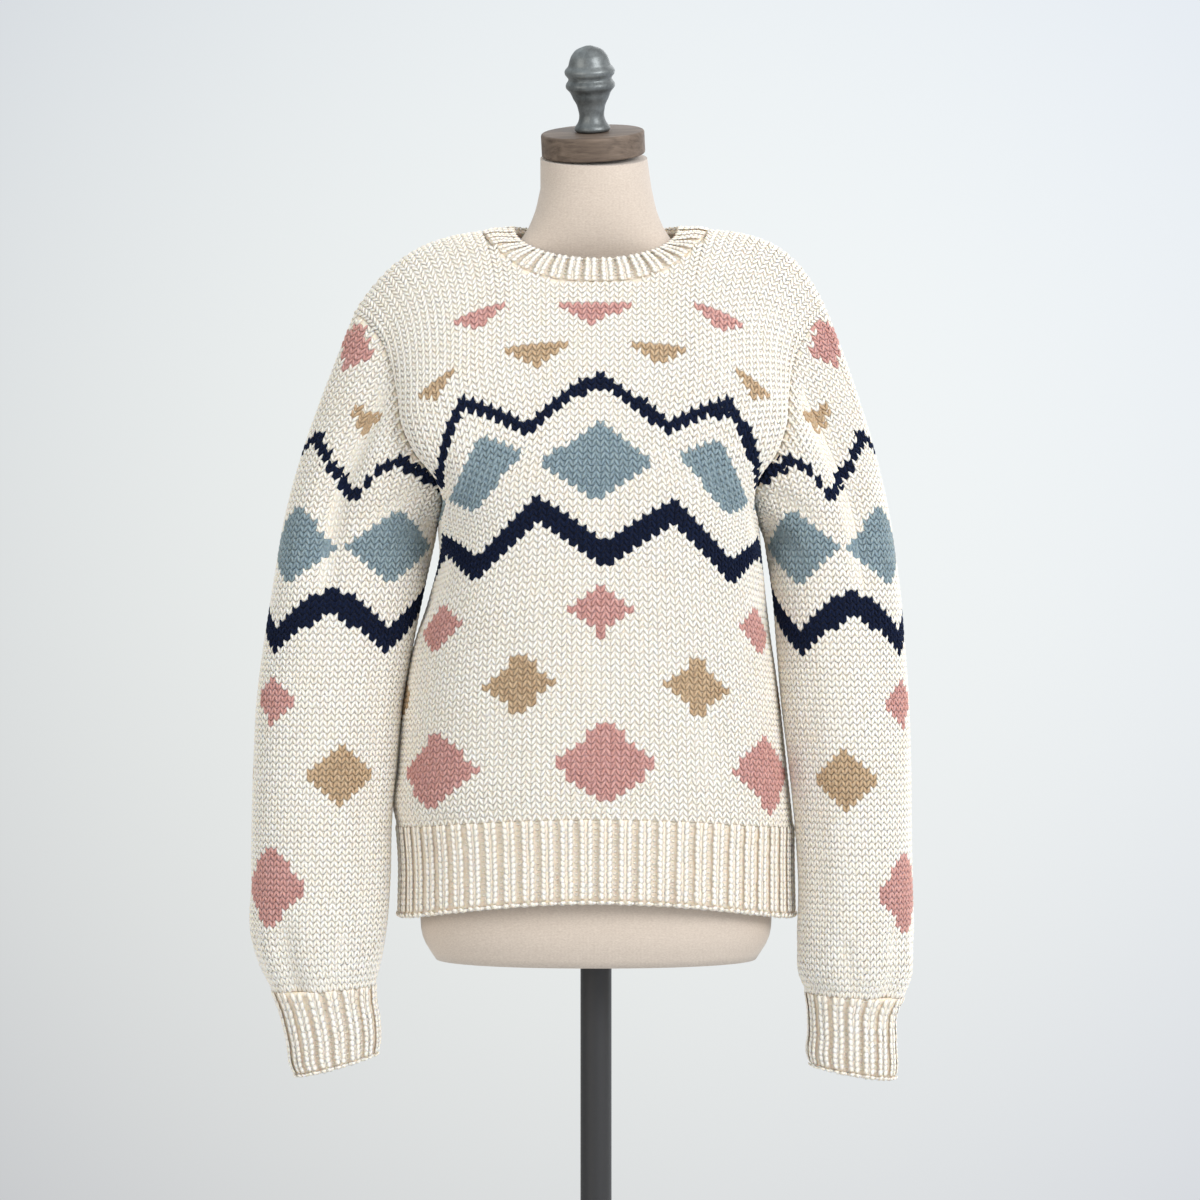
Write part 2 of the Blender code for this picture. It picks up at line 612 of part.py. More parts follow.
def build_neckband(front, back):
    """Ribbed band on the necklines of the front and the back, each its edge points and normals."""
    edge = np.concatenate([front[0], back[0][::-1], front[0][:1]])
    normal = np.concatenate([front[1], back[1][::-1], front[1][:1]])
    places, crests = rib_wave(NECK_RIBS, closed=True)
    both = np.concatenate([edge, normal * 1000], axis=1)
    run = np.concatenate([[0], np.cumsum(np.linalg.norm(np.diff(edge, axis=0), axis=1))])
    at = places * run[-1]
    sampled = np.stack([np.interp(at, run, both[:, k]) for k in range(6)], axis=1)
    foot = sampled[:, :3]
    foot_normal = sampled[:, 3:] / np.linalg.norm(sampled[:, 3:], axis=1)[:, None]
    top = band_top(np.arctan2(foot[:, 0] / BAND_HALF_WIDTH, -foot[:, 1] / BAND_FRONT))
    rise = (top - foot) / np.linalg.norm(top - foot, axis=1)[:, None]
    run_way = unit(np.roll(foot, -1, axis=0) - np.roll(foot, 1, axis=0))
    from_edge = rise - run_way * np.einsum("ij,ij->i", rise, run_way)[:, None]
    foot = foot + unit(from_edge) * BAND_GAP
    shares = np.array([0.0, 0.4, 0.9, 1.0])
    bulge = np.sin(shares * math.pi) * BAND_BULGE
    tangent = np.roll(foot, -1, axis=0) - np.roll(foot, 1, axis=0)
    band_normal = np.cross(tangent, rise)
    band_normal /= np.linalg.norm(band_normal, axis=1)[:, None]
    band_normal *= np.sign(np.einsum("ij,ij->i", band_normal, foot - NECK_MIDDLE))[:, None]
    turn = np.clip(shares / 0.65, 0, 1)[:, None, None]
    normals = foot_normal[None] * (1 - turn) + band_normal[None] * turn
    normals /= np.linalg.norm(normals, axis=2, keepdims=True)
    face = foot[None] + (top - foot)[None] * shares[:, None, None] + normals * bulge[:, None, None]
    relief = crests[None, :, None] * RIB_HEIGHT * np.array([0.3, 1.0, 1.0, 0.4])[:, None, None]
    build_wall("neckband", face + normals * relief, face - normals * WALL, closed=True)


def build_form():
    """Padded torso and neck: ovals stacked from the flat underside to the neck's top."""
    turn = np.arange(FORM_SIDES) * 2 * math.pi / FORM_SIDES
    rings = []
    for z, half_width, front, back in FORM_LEVELS:
        s = np.sin(turn)
        c = np.cos(turn)
        depth = np.where(c > 0, front, back)
        rings.append(
            np.stack(
                [
                    half_width * np.sign(s) * np.abs(s) ** (2 / FORM_BOXY),
                    -depth * np.sign(c) * np.abs(c) ** (2 / FORM_BOXY),
                    np.full(FORM_SIDES, z),
                ],
                axis=1,
            )
        )
    lean = math.radians(NECK_LEAN)
    x, y, z = NECK_TOP
    rings.append(
        np.stack(
            [
                x + NECK_RADIUS * np.sin(turn),
                y - NECK_RADIUS * np.cos(turn) * math.cos(lean),
                z - NECK_RADIUS * np.cos(turn) * math.sin(lean),
            ],
            axis=1,
        )
    )
    bm = bmesh.new()
    loops = [[bm.verts.new(point * MM) for point in ring] for ring in rings]
    for low, high in zip(loops, loops[1:]):
        for j in range(FORM_SIDES):
            k = (j + 1) % FORM_SIDES
            bm.faces.new((low[j], low[k], high[k], high[j]))
    bm.faces.new(loops[0][::-1])
    bm.faces.new(loops[-1])
    bmesh.ops.recalc_face_normals(bm, faces=bm.faces[:])
    mesh = bpy.data.meshes.new("dress_form")
    bm.to_mesh(mesh)
    bm.free()
    mesh.shade_smooth()
    mesh.set_sharp_from_angle(angle=math.radians(50))
    add_object("dress_form", mesh, FORM_COLOUR, 0.85)


def build_turned(name, profile, sides, colour, roughness, metallic=0.0):
    """A turned piece: its profile of (radius, height) pairs spun about its own upright axis."""
    bm = bmesh.new()
    rings = []
    for radius, height in profile:
        ring = []
        for k in range(sides):
            turn = 2 * math.pi * k / sides
            point = (radius * math.cos(turn), radius * math.sin(turn), height)
            ring.append(bm.verts.new([value * MM for value in point]))
        rings.append(ring)
    for low, high in zip(rings, rings[1:]):
        for j in range(sides):
            k = (j + 1) % sides
            bm.faces.new((low[j], low[k], high[k], high[j]))
    bm.faces.new(rings[0][::-1])
    bm.faces.new(rings[-1])
    mesh = bpy.data.meshes.new(name)
    bm.to_mesh(mesh)
    bm.free()
    mesh.shade_smooth()
    mesh.set_sharp_from_angle(angle=math.radians(35))
    return add_object(name, mesh, colour, roughness, metallic)


def place_on_neck(piece, distance):
    """Stand a turned piece on the leaning neck, that far above the neck's top."""
    lean = math.radians(NECK_LEAN)
    roll = math.radians(CAP_ROLL)
    x, y, z = NECK_TOP
    piece.rotation_euler = (lean, -roll, 0)
    piece.location = (
        (x - distance * math.sin(roll)) * MM,
        (y - distance * math.sin(lean)) * MM,
        (z + distance * math.cos(lean)) * MM,
    )


def build_stand():
    """Cap and finial above the neck, pole and base below the torso."""
    cap_profile = (
        (CAP_RADIUS - RIM, 0),
        (CAP_RADIUS, RIM),
        (CAP_RADIUS, CAP_THICKNESS - RIM),
        (CAP_RADIUS - RIM, CAP_THICKNESS),
    )
    clearance = CAP_RADIUS * math.sin(math.radians(CAP_ROLL)) + SEAM_GAP
    cap = build_turned("neck_cap", cap_profile, CAP_SIDES, CAP_COLOUR, 0.45)
    place_on_neck(cap, clearance)
    finial = build_turned("finial", FINIAL_PROFILE, FINIAL_SIDES, FINIAL_COLOUR, 0.45, 0.8)
    place_on_neck(finial, clearance + CAP_THICKNESS + SEAM_GAP)
    base_profile = (
        (BASE_RADIUS - RIM, 0),
        (BASE_RADIUS, RIM),
        (BASE_RADIUS, BASE_EDGE - RIM),
        (BASE_RADIUS - 2 * RIM, BASE_EDGE),
        (SOCKET_RADIUS + SOCKET_FLARE, BASE_HEIGHT),
        (SOCKET_RADIUS, BASE_HEIGHT + SOCKET_FLARE / 2),
        (SOCKET_RADIUS, BASE_HEIGHT + SOCKET_HEIGHT - 2 * RIM),
        (SOCKET_RADIUS - 2 * RIM, BASE_HEIGHT + SOCKET_HEIGHT),
    )
    build_turned("stand_base", base_profile, BASE_SIDES, STAND_COLOUR, 0.5, 0.6)
    pole_foot = BASE_HEIGHT + SOCKET_HEIGHT + SEAM_GAP
    pole_top = FORM_LEVELS[0][0] - SEAM_GAP
    pole_profile = ((POLE_RADIUS, pole_foot), (POLE_RADIUS, pole_top))
    build_turned("stand_pole", pole_profile, POLE_SIDES, STAND_COLOUR, 0.35, 0.9)


def main():
    for old in list(bpy.data.objects):
        bpy.data.objects.remove(old)
    front = build_panel("front", FRONT_ROWS, FRONT_NECK_DROP, -1)
    back = build_panel("back", BACK_ROWS, BACK_NECK_DROP, 1)
    build_hem("hem_front", FRONT_ROWS, -1)
    build_hem("hem_back", BACK_ROWS, 1)
    for name, side in (("right", -1), ("left", 1)):
        build_sleeve("sleeve_" + name, side)
        build_cuff("cuff_" + name, side)
    build_neckband(front, back)
    build_form()
    build_stand()


main()
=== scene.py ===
"""Looks of the hand-knitted sweater on its dress form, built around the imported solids.

Every knitted piece is a thin shell on its solid's form, with one raised pair of yarn legs for each stitch.
Points are worked out in millimetres from the same sizes as the solids. "Right" and "left" are the wearer's.
"""

import math

import bpy
import numpy as np
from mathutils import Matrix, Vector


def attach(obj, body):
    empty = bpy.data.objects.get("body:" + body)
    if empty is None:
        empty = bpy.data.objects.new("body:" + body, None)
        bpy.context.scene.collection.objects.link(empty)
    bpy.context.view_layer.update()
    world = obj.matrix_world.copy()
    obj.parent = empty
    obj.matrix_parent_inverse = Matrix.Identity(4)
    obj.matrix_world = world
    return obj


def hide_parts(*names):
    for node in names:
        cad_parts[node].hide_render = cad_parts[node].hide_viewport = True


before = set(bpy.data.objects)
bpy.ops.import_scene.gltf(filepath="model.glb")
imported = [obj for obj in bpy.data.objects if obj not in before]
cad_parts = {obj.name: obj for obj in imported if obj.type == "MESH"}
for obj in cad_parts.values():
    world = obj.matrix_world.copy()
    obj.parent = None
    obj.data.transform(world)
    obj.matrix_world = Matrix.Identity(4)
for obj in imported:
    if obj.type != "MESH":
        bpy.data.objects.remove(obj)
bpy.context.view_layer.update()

MM = 0.001
random = np.random.default_rng(11)

# Knitting gauge and piece sizes, in stitches and rows
HEM_ROW = -15
UNDERARM_ROW = 54
YOKE_ROW = 62
SHOULDER_ROW = 102
CHEST_HALF = 30
YOKE_HALF = 26
NECK_HALF = 11
FRONT_NECK_DROP = 17
BACK_NECK_DROP = 9
NECK_CURVE = 2.6
CUFF_ROW = -13
SLEEVE_HALF = 26
SLEEVE_UNDERARM_ROW = 72
CUFF_STITCHES = 32
NECK_STITCHES = 72
NECK_ROWS = 6
STITCH_WIDTH = 7.6
ROW_HEIGHT = 5.5

# Wall sizes, in millimetres. The shell lies under the stitches, whose tops stand just over the
# solid's outer face.
WALL = 4.0
SHELL_DEPTH = 0.9
RIB_HEIGHT = 3.0
RIB_SHARPNESS = 0.7
SEAM_GAP = 0.6
BAND_GAP = 1.2
RIB_GAP = 0.6

# Outline of each panel. Across a row the outer face runs from its middle to its edge, the side seam
# below the underarm row and the armhole seam above it. "boxy" is the exponent of the oval between
# them, and "sag" the power by which the row sinks towards the edge.
PANEL_COLUMNS = (
    "row", "z_mid", "y_mid", "x_left", "x_right", "y_edge", "z_edge", "boxy", "sag_left", "sag_right",
)
FRONT_ROWS = (
    (-15, 787, -119, 179, 178, 16, 765, 2.15, 2.0, 2.0),
    (-4, 840, -123, 178, 178, 17, 824, 2.15, 2.0, 2.0),
    (0, 860, -125, 178, 180, 18, 846, 2.15, 2.0, 2.0),
    (4, 882, -127, 176, 184, 18, 867, 2.15, 2.0, 2.0),
    (9, 910, -128, 173, 181, 18, 894, 2.15, 2.0, 2.0),
    (21, 977, -130, 166, 175, 17, 957, 2.20, 2.0, 2.0),
    (33, 1045, -132, 157, 161, 13, 1021, 2.35, 2.0, 2.0),
    (38, 1074, -132, 153, 151, 10, 1050, 2.45, 2.1, 2.1),
    (45, 1114, -132, 149, 141, 6, 1086, 2.65, 2.2, 2.2),
    (54, 1166, -129, 145, 141, 0, 1120, 3.10, 2.4, 2.4),
    (58, 1188, -126, 140, 136, -38, 1137, 3.60, 2.6, 2.6),
    (62, 1210, -121, 143, 141, -60, 1155, 4.00, 2.8, 2.8),
    (67, 1237, -114, 158, 158, -69, 1178, 4.00, 3.0, 3.0),
    (72, 1264, -105, 167, 170, -66, 1202, 3.60, 3.2, 3.1),
    (78, 1295, -93, 170, 175, -58, 1230, 2.90, 3.5, 3.2),
    (84, 1325, -78, 174, 181, -48, 1256, 2.30, 4.0, 3.4),
    (90, 1352, -58, 183, 190, -37, 1279, 2.00, 4.8, 3.8),
    (96, 1375, -33, 197, 205, -22, 1298, 1.80, 5.8, 4.4),
    (99, 1382, -17, 205, 213, -12, 1305, 1.80, 6.2, 4.7),
    (102, 1384, 0, 209, 218, 0, 1309, 1.80, 6.4, 4.8),
)
# Up to the underarm the back shares the front's side seams. Its own middle: height, depth and boxy.
BACK_MIDDLES = (
    (768, 117, 2.15), (828, 116, 2.15), (850, 116, 2.15), (872, 116, 2.15), (901, 115, 2.15),
    (969, 111, 2.20), (1037, 107, 2.30), (1066, 106, 2.35), (1108, 105, 2.45), (1161, 106, 2.60),
)
BACK_ROWS = (
    *(
        (front[0], z, y, *front[3:7], boxy, *front[8:])
        for front, (z, y, boxy) in zip(FRONT_ROWS, BACK_MIDDLES)
    ),
    (58, 1184, 107, 148, 144, 32, 1137, 2.70, 2.6, 2.6),
    (62, 1207, 108, 155, 153, 54, 1156, 2.70, 2.8, 2.8),
    (67, 1235, 108, 167, 167, 65, 1182, 2.60, 3.0, 3.0),
    (72, 1263, 107, 176, 178, 65, 1208, 2.50, 3.2, 3.1),
    (78, 1296, 102, 180, 184, 58, 1236, 2.30, 3.5, 3.2),
    (84, 1327, 89, 183, 189, 47, 1261, 2.10, 4.0, 3.4),
    (90, 1355, 67, 189, 196, 34, 1282, 1.90, 4.8, 3.8),
    (96, 1376, 37, 199, 207, 20, 1299, 1.80, 5.8, 4.4),
    (99, 1382, 19, 205, 213, 11, 1305, 1.80, 6.2, 4.7),
    (102, 1384, 0, 209, 218, 0, 1309, 1.80, 6.4, 4.8),
)

# Each sleeve and its cuff are level ovals up to the underarm. "out" is the distance from the middle of
# the body, "wide" and "deep" are half sizes, "turn" moves the outer line towards the front, in degrees,
# and "slant" is how much lower the outer side of the oval lies than the inner side.
SLEEVE_COLUMNS = ("row", "z", "out", "y", "wide", "deep", "turn", "slant")
RIGHT_SLEEVE_ROWS = (
    (-13, 634, 232, -20, 35.0, 29, 26, 19),
    (-11, 642, 233, -20, 38.5, 30, 26, 19),
    (-6, 666, 235, -20, 41.0, 31, 26, 17),
    (-2, 690, 240, -20, 43.0, 33, 26, 10),
    (0, 703, 243, -20, 46.0, 36, 26, 6),
    (3, 721, 246, -20, 53.0, 41, 26, 4),
    (8, 750, 248, -20, 60.0, 46, 26, 2),
    (17, 798, 246, -20, 62.0, 47, 26, 0),
    (27, 852, 245, -20, 62.5, 48, 26, 0),
    (37, 906, 242, -19, 64.0, 49, 25, 0),
    (47, 960, 238, -17, 65.5, 50, 22, 0),
    (57, 1014, 230, -13, 67.0, 53, 17, 0),
    (64, 1055, 223, -8, 68.0, 56, 12, 0),
    (72, 1100, 215, 0, 69.5, 59, 8, 0),
)
LEFT_SLEEVE_ROWS = (
    (-13, 628, 230, -20, 36.5, 30, 14, 12),
    (-11, 637, 229, -20, 39.0, 31, 14, 12),
    (-6, 661, 229, -20, 38.5, 31, 14, 10),
    (-2, 685, 229, -20, 39.5, 33, 14, 7),
    (0, 697, 231, -20, 43.5, 37, 14, 5),
    (3, 714, 232, -20, 50.5, 44, 14, 3),
    (8, 744, 232, -20, 52.0, 49, 14, 0),
    (17, 792, 232, -20, 51.0, 51, 14, 0),
    (27, 847, 230, -19, 52.0, 52, 14, 0),
    (37, 902, 227, -18, 54.5, 53, 13, 0),
    (47, 957, 223, -16, 57.0, 54, 12, 0),
    (57, 1012, 219, -12, 57.5, 56, 11, 0),
    (64, 1053, 216, -7, 57.5, 57, 10, 0),
    (72, 1100, 210, 0, 58.0, 59, 8, 0),
)

# Sides are -1 for the wearer's right and 1 for the left
SLEEVE_ROWS = {-1: RIGHT_SLEEVE_ROWS, 1: LEFT_SLEEVE_ROWS}

# Way in which the sleeve cloth meets the armhole seam, from the shoulder (around 0) to the underarm
# (around 1): how much it runs inwards, towards the middle depth of the body, and upwards.
CAP_COLUMNS = ("around", "inwards", "deeper", "upwards")
CAP_WAYS = (
    (0.00, 0.36, 0.00, 0.93),
    (0.25, 0.45, 0.20, 0.85),
    (0.50, 0.60, 0.45, 0.65),
    (0.75, 0.60, 0.40, 0.70),
    (1.00, 0.30, 0.00, 0.95),
)
CAP_PULL = 1.0
CAP_FOOT_ROWS = 4

# Top edge of the neckband, an oval round the neck
BAND_HALF_WIDTH = 74.0
BAND_FRONT = 63.0
BAND_BACK = 54.0
BAND_SIDE_Z = 1385.0
BAND_FRONT_DROP = 34.0
BAND_BACK_RISE = 4.0
BAND_BULGE = 1.5
BAND_TURN_END = 0.65
NECK_MIDDLE = np.array([0.0, 0.0, 1355.0])

# How sharply creases fade towards their ends, and the rows over which they fade below the armhole seam
CREASE_FADE = 1.2
SEAM_FADE_ROWS = 5
# Soft troughs (depth above 0) and ridges (below 0) of the cloth. Each runs from one stitch and row to
# another, and fades towards both ends. Half widths are in stitches, depths in millimetres.
# Columns: from stitch, from row, to stitch, to row, half width, depth
FRONT_CREASES = (
    (-25, 52, -19, 66, 1.8, 3.5), (-22, 46, -16, 62, 1.6, -1.6), (24, 50, 19, 65, 1.7, 3.0),
    (21, 44, 15, 60, 1.6, -1.5), (-28, 33, -20, 46, 2.2, 2.2), (27, 30, 19, 43, 2.4, 2.0),
    (-12, 4, -9, 30, 3.0, 1.6), (13, 2, 10, 26, 3.0, 1.4),
)
BACK_CREASES = (
    (-25, 50, -18, 66, 1.8, 3.0), (24, 52, 19, 64, 1.8, 2.6), (-27, 28, -18, 44, 2.4, 2.4),
    (26, 34, 20, 46, 2.2, 2.0), (-6, 6, -3, 34, 3.2, 1.8), (10, 2, 12, 28, 3.0, 1.5),
)
SLEEVE_CREASES = (
    (8.8, 62, 8.8, 102, 2.2, 9.0), (5.2, -4, 5.2, 12, 2.1, 5.0), (17.2, 4, 17.2, 56, 2.6, 3.0),
    (-9.4, 62, -9.4, 98, 2.3, 7.0), (-7.8, 0, -7.8, 18, 2.3, 4.0), (13.5, 74, 21.0, 84, 1.5, 2.6),
    (15.0, 68, 23.5, 77, 1.4, 2.2), (-14.0, 72, -22.0, 82, 1.6, 2.6), (-16.0, 66, -24.0, 74, 1.5, 2.0),
    (11.5, 0, 14.0, 10, 1.3, 2.2), (-2.0, 1, 0.5, 11, 1.4, 2.0), (-19.0, 0, -17.0, 12, 1.5, 2.2),
    (3.0, 46, 12.0, 58, 2.4, 1.8),
)

# Yarns, and the charted motifs. A diamond has a half height in rows and a half width in stitches, and
# a triangle hangs from its top row.
# The last entry is not a yarn: a darker, warmer copy of the cream, painted shade for the grooves between
# stitches
CREAM, NAVY, BLUE, ROSE, TAN, PAINTED_SHADE_CREAM = range(6)
YARN_WORDS = ("stitches", "navy", "blue", "rose", "tan")
# Columns: shape, yarn, row, half rows, half stitches, centres
BODY_MOTIFS = (
    ("diamond", ROSE, 8.8, 6.6, 5.6, (-17.8, 1.0, 20.6)),
    ("diamond", TAN, 21.5, 4.8, 3.8, (-27.5, -7.9, 11.0, 29.5)),
    ("diamond", ROSE, 32.3, 3.9, 3.3, (0.5,)),
    ("diamond", ROSE, 32.2, 4.0, 4.0, (-19.0, 21.2)),
    ("diamond", BLUE, 54.9, 6.0, 6.3, (0.1,)),
    ("diamond", BLUE, 56.6, 6.0, 5.6, (-14.2, 15.2, -29.0, 30.0)),
    ("triangle", TAN, 74.0, 3.9, 3.9, (-6.8, 6.9)),
    ("triangle", TAN, 74.2, 3.7, 3.0, (-18.5, 18.5)),
    ("triangle", ROSE, 80.8, 3.9, 4.2, (-0.3,)),
    ("triangle", ROSE, 81.8, 3.4, 3.5, (-13.0, 14.0)),
)
SLEEVE_MOTIFS = (
    ("diamond", ROSE, 16.6, 7.4, 5.5, (-16.5, 3.0)),
    ("diamond", TAN, 35.0, 4.9, 5.2, (-25.6, -6.7, 12.3)),
    ("diamond", ROSE, 47.2, 4.1, 3.4, (-16.5, 2.7)),
    ("diamond", BLUE, 71.4, 6.3, 5.9, (-9.0, 4.1, 17.1)),
    ("diamond", BLUE, 71.4, 5.6, 4.6, (-21.0,)),
    ("triangle", TAN, 92.8, 3.8, 2.4, (-19.0, -5.4, 8.3)),
    ("diamond", ROSE, 100.5, 3.4, 2.9, (-10.5, 2.5)),
)
# Navy lines: half the line's height in rows, and its bends as (stitch, row) pairs
BODY_LOWER_BENDS = (
    (-29.0, 40.3), (-21.5, 47.5), (-14.0, 40.3), (-6.5, 47.6), (1.0, 40.3), (8.5, 47.6),
    (16.0, 40.3), (23.5, 47.5), (31.0, 40.3),
)
BODY_UPPER_BENDS = (
    (-31.0, 67.5), (-23.2, 60.8), (-15.6, 67.8), (-8.2, 60.6), (0.1, 67.9), (8.4, 61.0),
    (15.9, 67.8), (23.6, 60.8), (31.0, 67.5),
)
SLEEVE_LOWER_BENDS = (
    (-26.0, 57.0), (-19.5, 63.6), (-12.4, 57.3), (-4.9, 63.6), (2.6, 57.3), (9.9, 63.6),
    (17.6, 57.3), (24.6, 63.6), (26.0, 62.4),
)
SLEEVE_UPPER_BENDS = (
    (-26.0, 81.6), (-19.0, 79.0), (-11.0, 86.0), (-4.8, 79.0), (3.0, 87.4), (11.0, 79.0), (13.2, 83.4),
    (15.8, 85.8), (19.8, 83.4), (26.0, 81.6),
)
BODY_LINES = ((2.05, BODY_LOWER_BENDS), (1.1, BODY_UPPER_BENDS))
SLEEVE_LINES = ((2.1, SLEEVE_LOWER_BENDS), (1.0, SLEEVE_UPPER_BENDS))
SLEEVE_ROW_TILT = 0.2
SLEEVE_TILT_END = 0.6

# One yarn leg of a knit stitch, from its foot in the middle of the stitch to its head at the side:
# place in stitches and rows, half width and height of its ridge in millimetres. Rib legs stand nearly
# upright, purl bumps lie across, and edge loops bind off the ribs.
# Columns: across, up, half width, ridge
KNIT_LEG = (
    (0.02, -0.16, 0.0, -0.80),
    (0.09, 0.16, 1.70, 0.05),
    (0.24, 0.55, 2.00, 0.30),
    (0.40, 0.94, 1.70, 0.05),
    (0.50, 1.26, 0.0, -0.80),
)
RIB_LEG = (
    (0.31, -0.32, 0.0, -0.90),
    (0.35, 0.10, 2.40, 0.00),
    (0.40, 0.50, 2.80, 0.30),
    (0.45, 0.90, 2.40, 0.00),
    (0.49, 1.32, 0.0, -0.90),
)
PURL_BUMP = (
    (-0.46, 0.36, 0.0, -1.20),
    (-0.24, 0.50, 1.35, -0.10),
    (0.00, 0.58, 1.60, 0.35),
    (0.24, 0.50, 1.35, -0.10),
    (0.46, 0.36, 0.0, -1.20),
)
EDGE_LOOP = (
    (-0.66, 0.16, 0.0, -1.10),
    (-0.32, 0.04, 1.55, 0.15),
    (0.04, -0.02, 1.95, 0.60),
    (0.38, 0.06, 1.55, 0.15),
    (0.70, 0.20, 0.0, -1.10),
)
LEG_EDGE = -1.0
EDGE_RELIEF = 0.5
EDGE_ROW = 0.2
NECK_EDGE_ROW = 0.1
# Each leg varies in plumpness and wanders from its place, in stitches and rows
PLUMP_RANGE = (0.9, 1.1)
WANDER_ACROSS = 0.02
WANDER_UP = 0.03
# Stitches keep this far from a seam, in stitches and rows
SIDE_ROOM = 0.1
TOP_ROOM = 0.8
MOST_ROWS = 140

# Points on the lines along which surfaces are measured
PANEL_STEPS = 72
RING_STEPS = 181
ARMHOLE_STEPS = 97
CAP_STEPS = 49
CAP_ROW_STEP = 0.5
CAP_END_STEPS = 401
CAP_SHELL_ROWS = 30
NECK_STEPS = 61
FINE_REACH = 0.25

# Dress form: half width and the depths in front of and behind the pole at each height
FORM_COLUMNS = ("z", "half_width", "front", "back")
FORM_LEVELS = (
    (728, 144, 88, 90), (744, 154, 97, 98), (780, 158, 101, 101),
    (830, 158, 102, 100), (885, 150, 99, 94), (945, 133, 92, 83),
    (990, 121, 88, 76), (1040, 125, 97, 82), (1090, 131, 114, 90),
    (1130, 132, 121, 94), (1170, 136, 114, 97), (1215, 146, 98, 98),
    (1260, 153, 80, 94), (1295, 163, 62, 82), (1318, 166, 47, 64),
    (1336, 142, 35, 44), (1350, 112, 34, 36), (1364, 79, 41, 36),
    (1378, 65, 46, 38), (1396, 56, 50, 40), (1420, 50, 52, 41),
)
FORM_BOXY = 2.2
FORM_SIDES = 80
FORM_RINGS = 100

# Neck, cap and finial lean forwards together about the middle of the neck's top
NECK_RADIUS = 48.0
NECK_TOP = (-2.0, -6.0, 1447.0)
NECK_LEAN = 16.0
CAP_ROLL = 2.7
CAP_RADIUS = 46.5
CAP_THICKNESS = 21.0
CAP_EDGE = 2.2
# Finial's outline: height and radius of each turn
FINIAL_COLUMNS = ("height", "radius")
FINIAL_ROWS = (
    (0.0, 14.8), (1.2, 15.9), (3.6, 15.7), (7.6, 13.0), (13.0, 11.3), (19.5, 12.0), (24.3, 13.3),
    (29.0, 15.8), (35.6, 18.9), (39.2, 21.9), (42.2, 21.9), (46.6, 19.4), (51.6, 22.4), (54.4, 22.4),
    (58.4, 19.2), (62.6, 17.9), (68.8, 14.9), (73.6, 9.4), (76.0, 2.6),
)
# Pole and base: height and radius of each turn
POLE_ROWS = ((46.6, 14.0), (727.4, 14.0))
BASE_ROWS = (
    (0.0, 198.5), (0.4, 199.6), (1.5, 200.0), (5.5, 200.0), (6.6, 199.2), (7.0, 197.0), (9.8, 90.0),
    (12.0, 35.0), (13.4, 29.0), (17.5, 24.0), (43.0, 24.0), (45.2, 23.2), (46.0, 21.0),
)
FINIAL_RINGS = 77
LEAN_RINGS = 6
EDGE_STEPS = 6
TURNED_SIDES = 64

# Backdrop by direction, for red, green and blue. The fall towards the sides is complete where the
# sum of squares reaches the spread. Columns: middle, rise to the right, rise upwards, fall
BACKDROP_ROWS = (
    (0.865, 0.30, 0.31, 0.17),
    (0.893, 0.33, 0.37, 0.17),
    (0.886, 0.39, 0.42, 0.13),
)
BACKDROP_SPREAD = 0.06
BACKDROP_LOW = 0.42
BACKDROP_HIGH = 0.97
FLOOR_RADIUS = 2.3
FLOOR_FADE = (0.35, 0.98)
# Camera: lens and sensor in millimetres, places in metres
CAMERA_LENS = 100
CAMERA_SENSOR = 36
CAMERA_PLACE = (0.0036, -3.0, 1.05)
LIGHT_TARGET = (0, 0, 1.05)
# Lights, in metres and watts. Columns: name, place, size, power, colour
LIGHTS = (
    ("key", (2.3, -2.8, 2.7), 1.6, 94, (1.0, 0.99, 0.98)),
    ("fill", (-2.4, -2.6, 1.8), 2.4, 38, (1.0, 0.93, 0.84)),
    ("back", (0.8, 2.6, 2.4), 2.0, 20, (0.97, 0.98, 1.0)),
)


def unit(vectors):
    """The vectors, each at length 1."""
    return vectors / np.maximum(np.linalg.norm(vectors, axis=-1, keepdims=True), 1e-9)


def curve(start, end, leave, arrive, t):
    """A smooth curve from start to end at shares t, with its slopes at both."""
    begin = start * (1 + 2 * t) * (1 - t) ** 2 + leave * t * (1 - t) ** 2
    return begin + (end * t**2 * (3 - 2 * t) - arrive * t**2 * (1 - t))


def smooth(table, columns, at):
    """Each further column of a table, by name, at any value of its first, on a smooth curve."""
    table = np.asarray(table, float)
    xs = table[:, 0]
    at = np.clip(np.asarray(at, float), xs[0], xs[-1])
    k = np.clip(np.searchsorted(xs, at, side="right") - 1, 0, len(xs) - 2)
    width = xs[k + 1] - xs[k]
    found = {}
    for name, ys in zip(columns[1:], table.T[1:]):
        slope = np.gradient(ys, xs)
        ends = ys[k], ys[k + 1], width * slope[k], width * slope[k + 1]
        found[name] = curve(*ends, (at - xs[k]) / width)
    return found


def paired(first, second):
    """Both values as arrays of one shape."""
    return np.broadcast_arrays(np.asarray(first, float), np.asarray(second, float))


def runs(lines):
    """Length of each step of each polyline (first axis), and the length up to each of its points."""
    steps = np.linalg.norm(np.diff(lines, axis=1), axis=2)
    return steps, np.concatenate([np.zeros((len(lines), 1)), np.cumsum(steps, axis=1)], axis=1)


def along(lines, shares):
    """The point of each polyline (first axis) at its share of the polyline's length."""
    steps, run = runs(lines)
    target = shares * run[:, -1]
    k = np.clip((run <= target[:, None]).sum(axis=1) - 1, 0, steps.shape[1] - 1)
    each = np.arange(len(lines))
    t = (target - run[each, k]) / np.maximum(steps[each, k], 1e-9)
    return lines[each, k] + t[:, None] * (lines[each, k + 1] - lines[each, k])


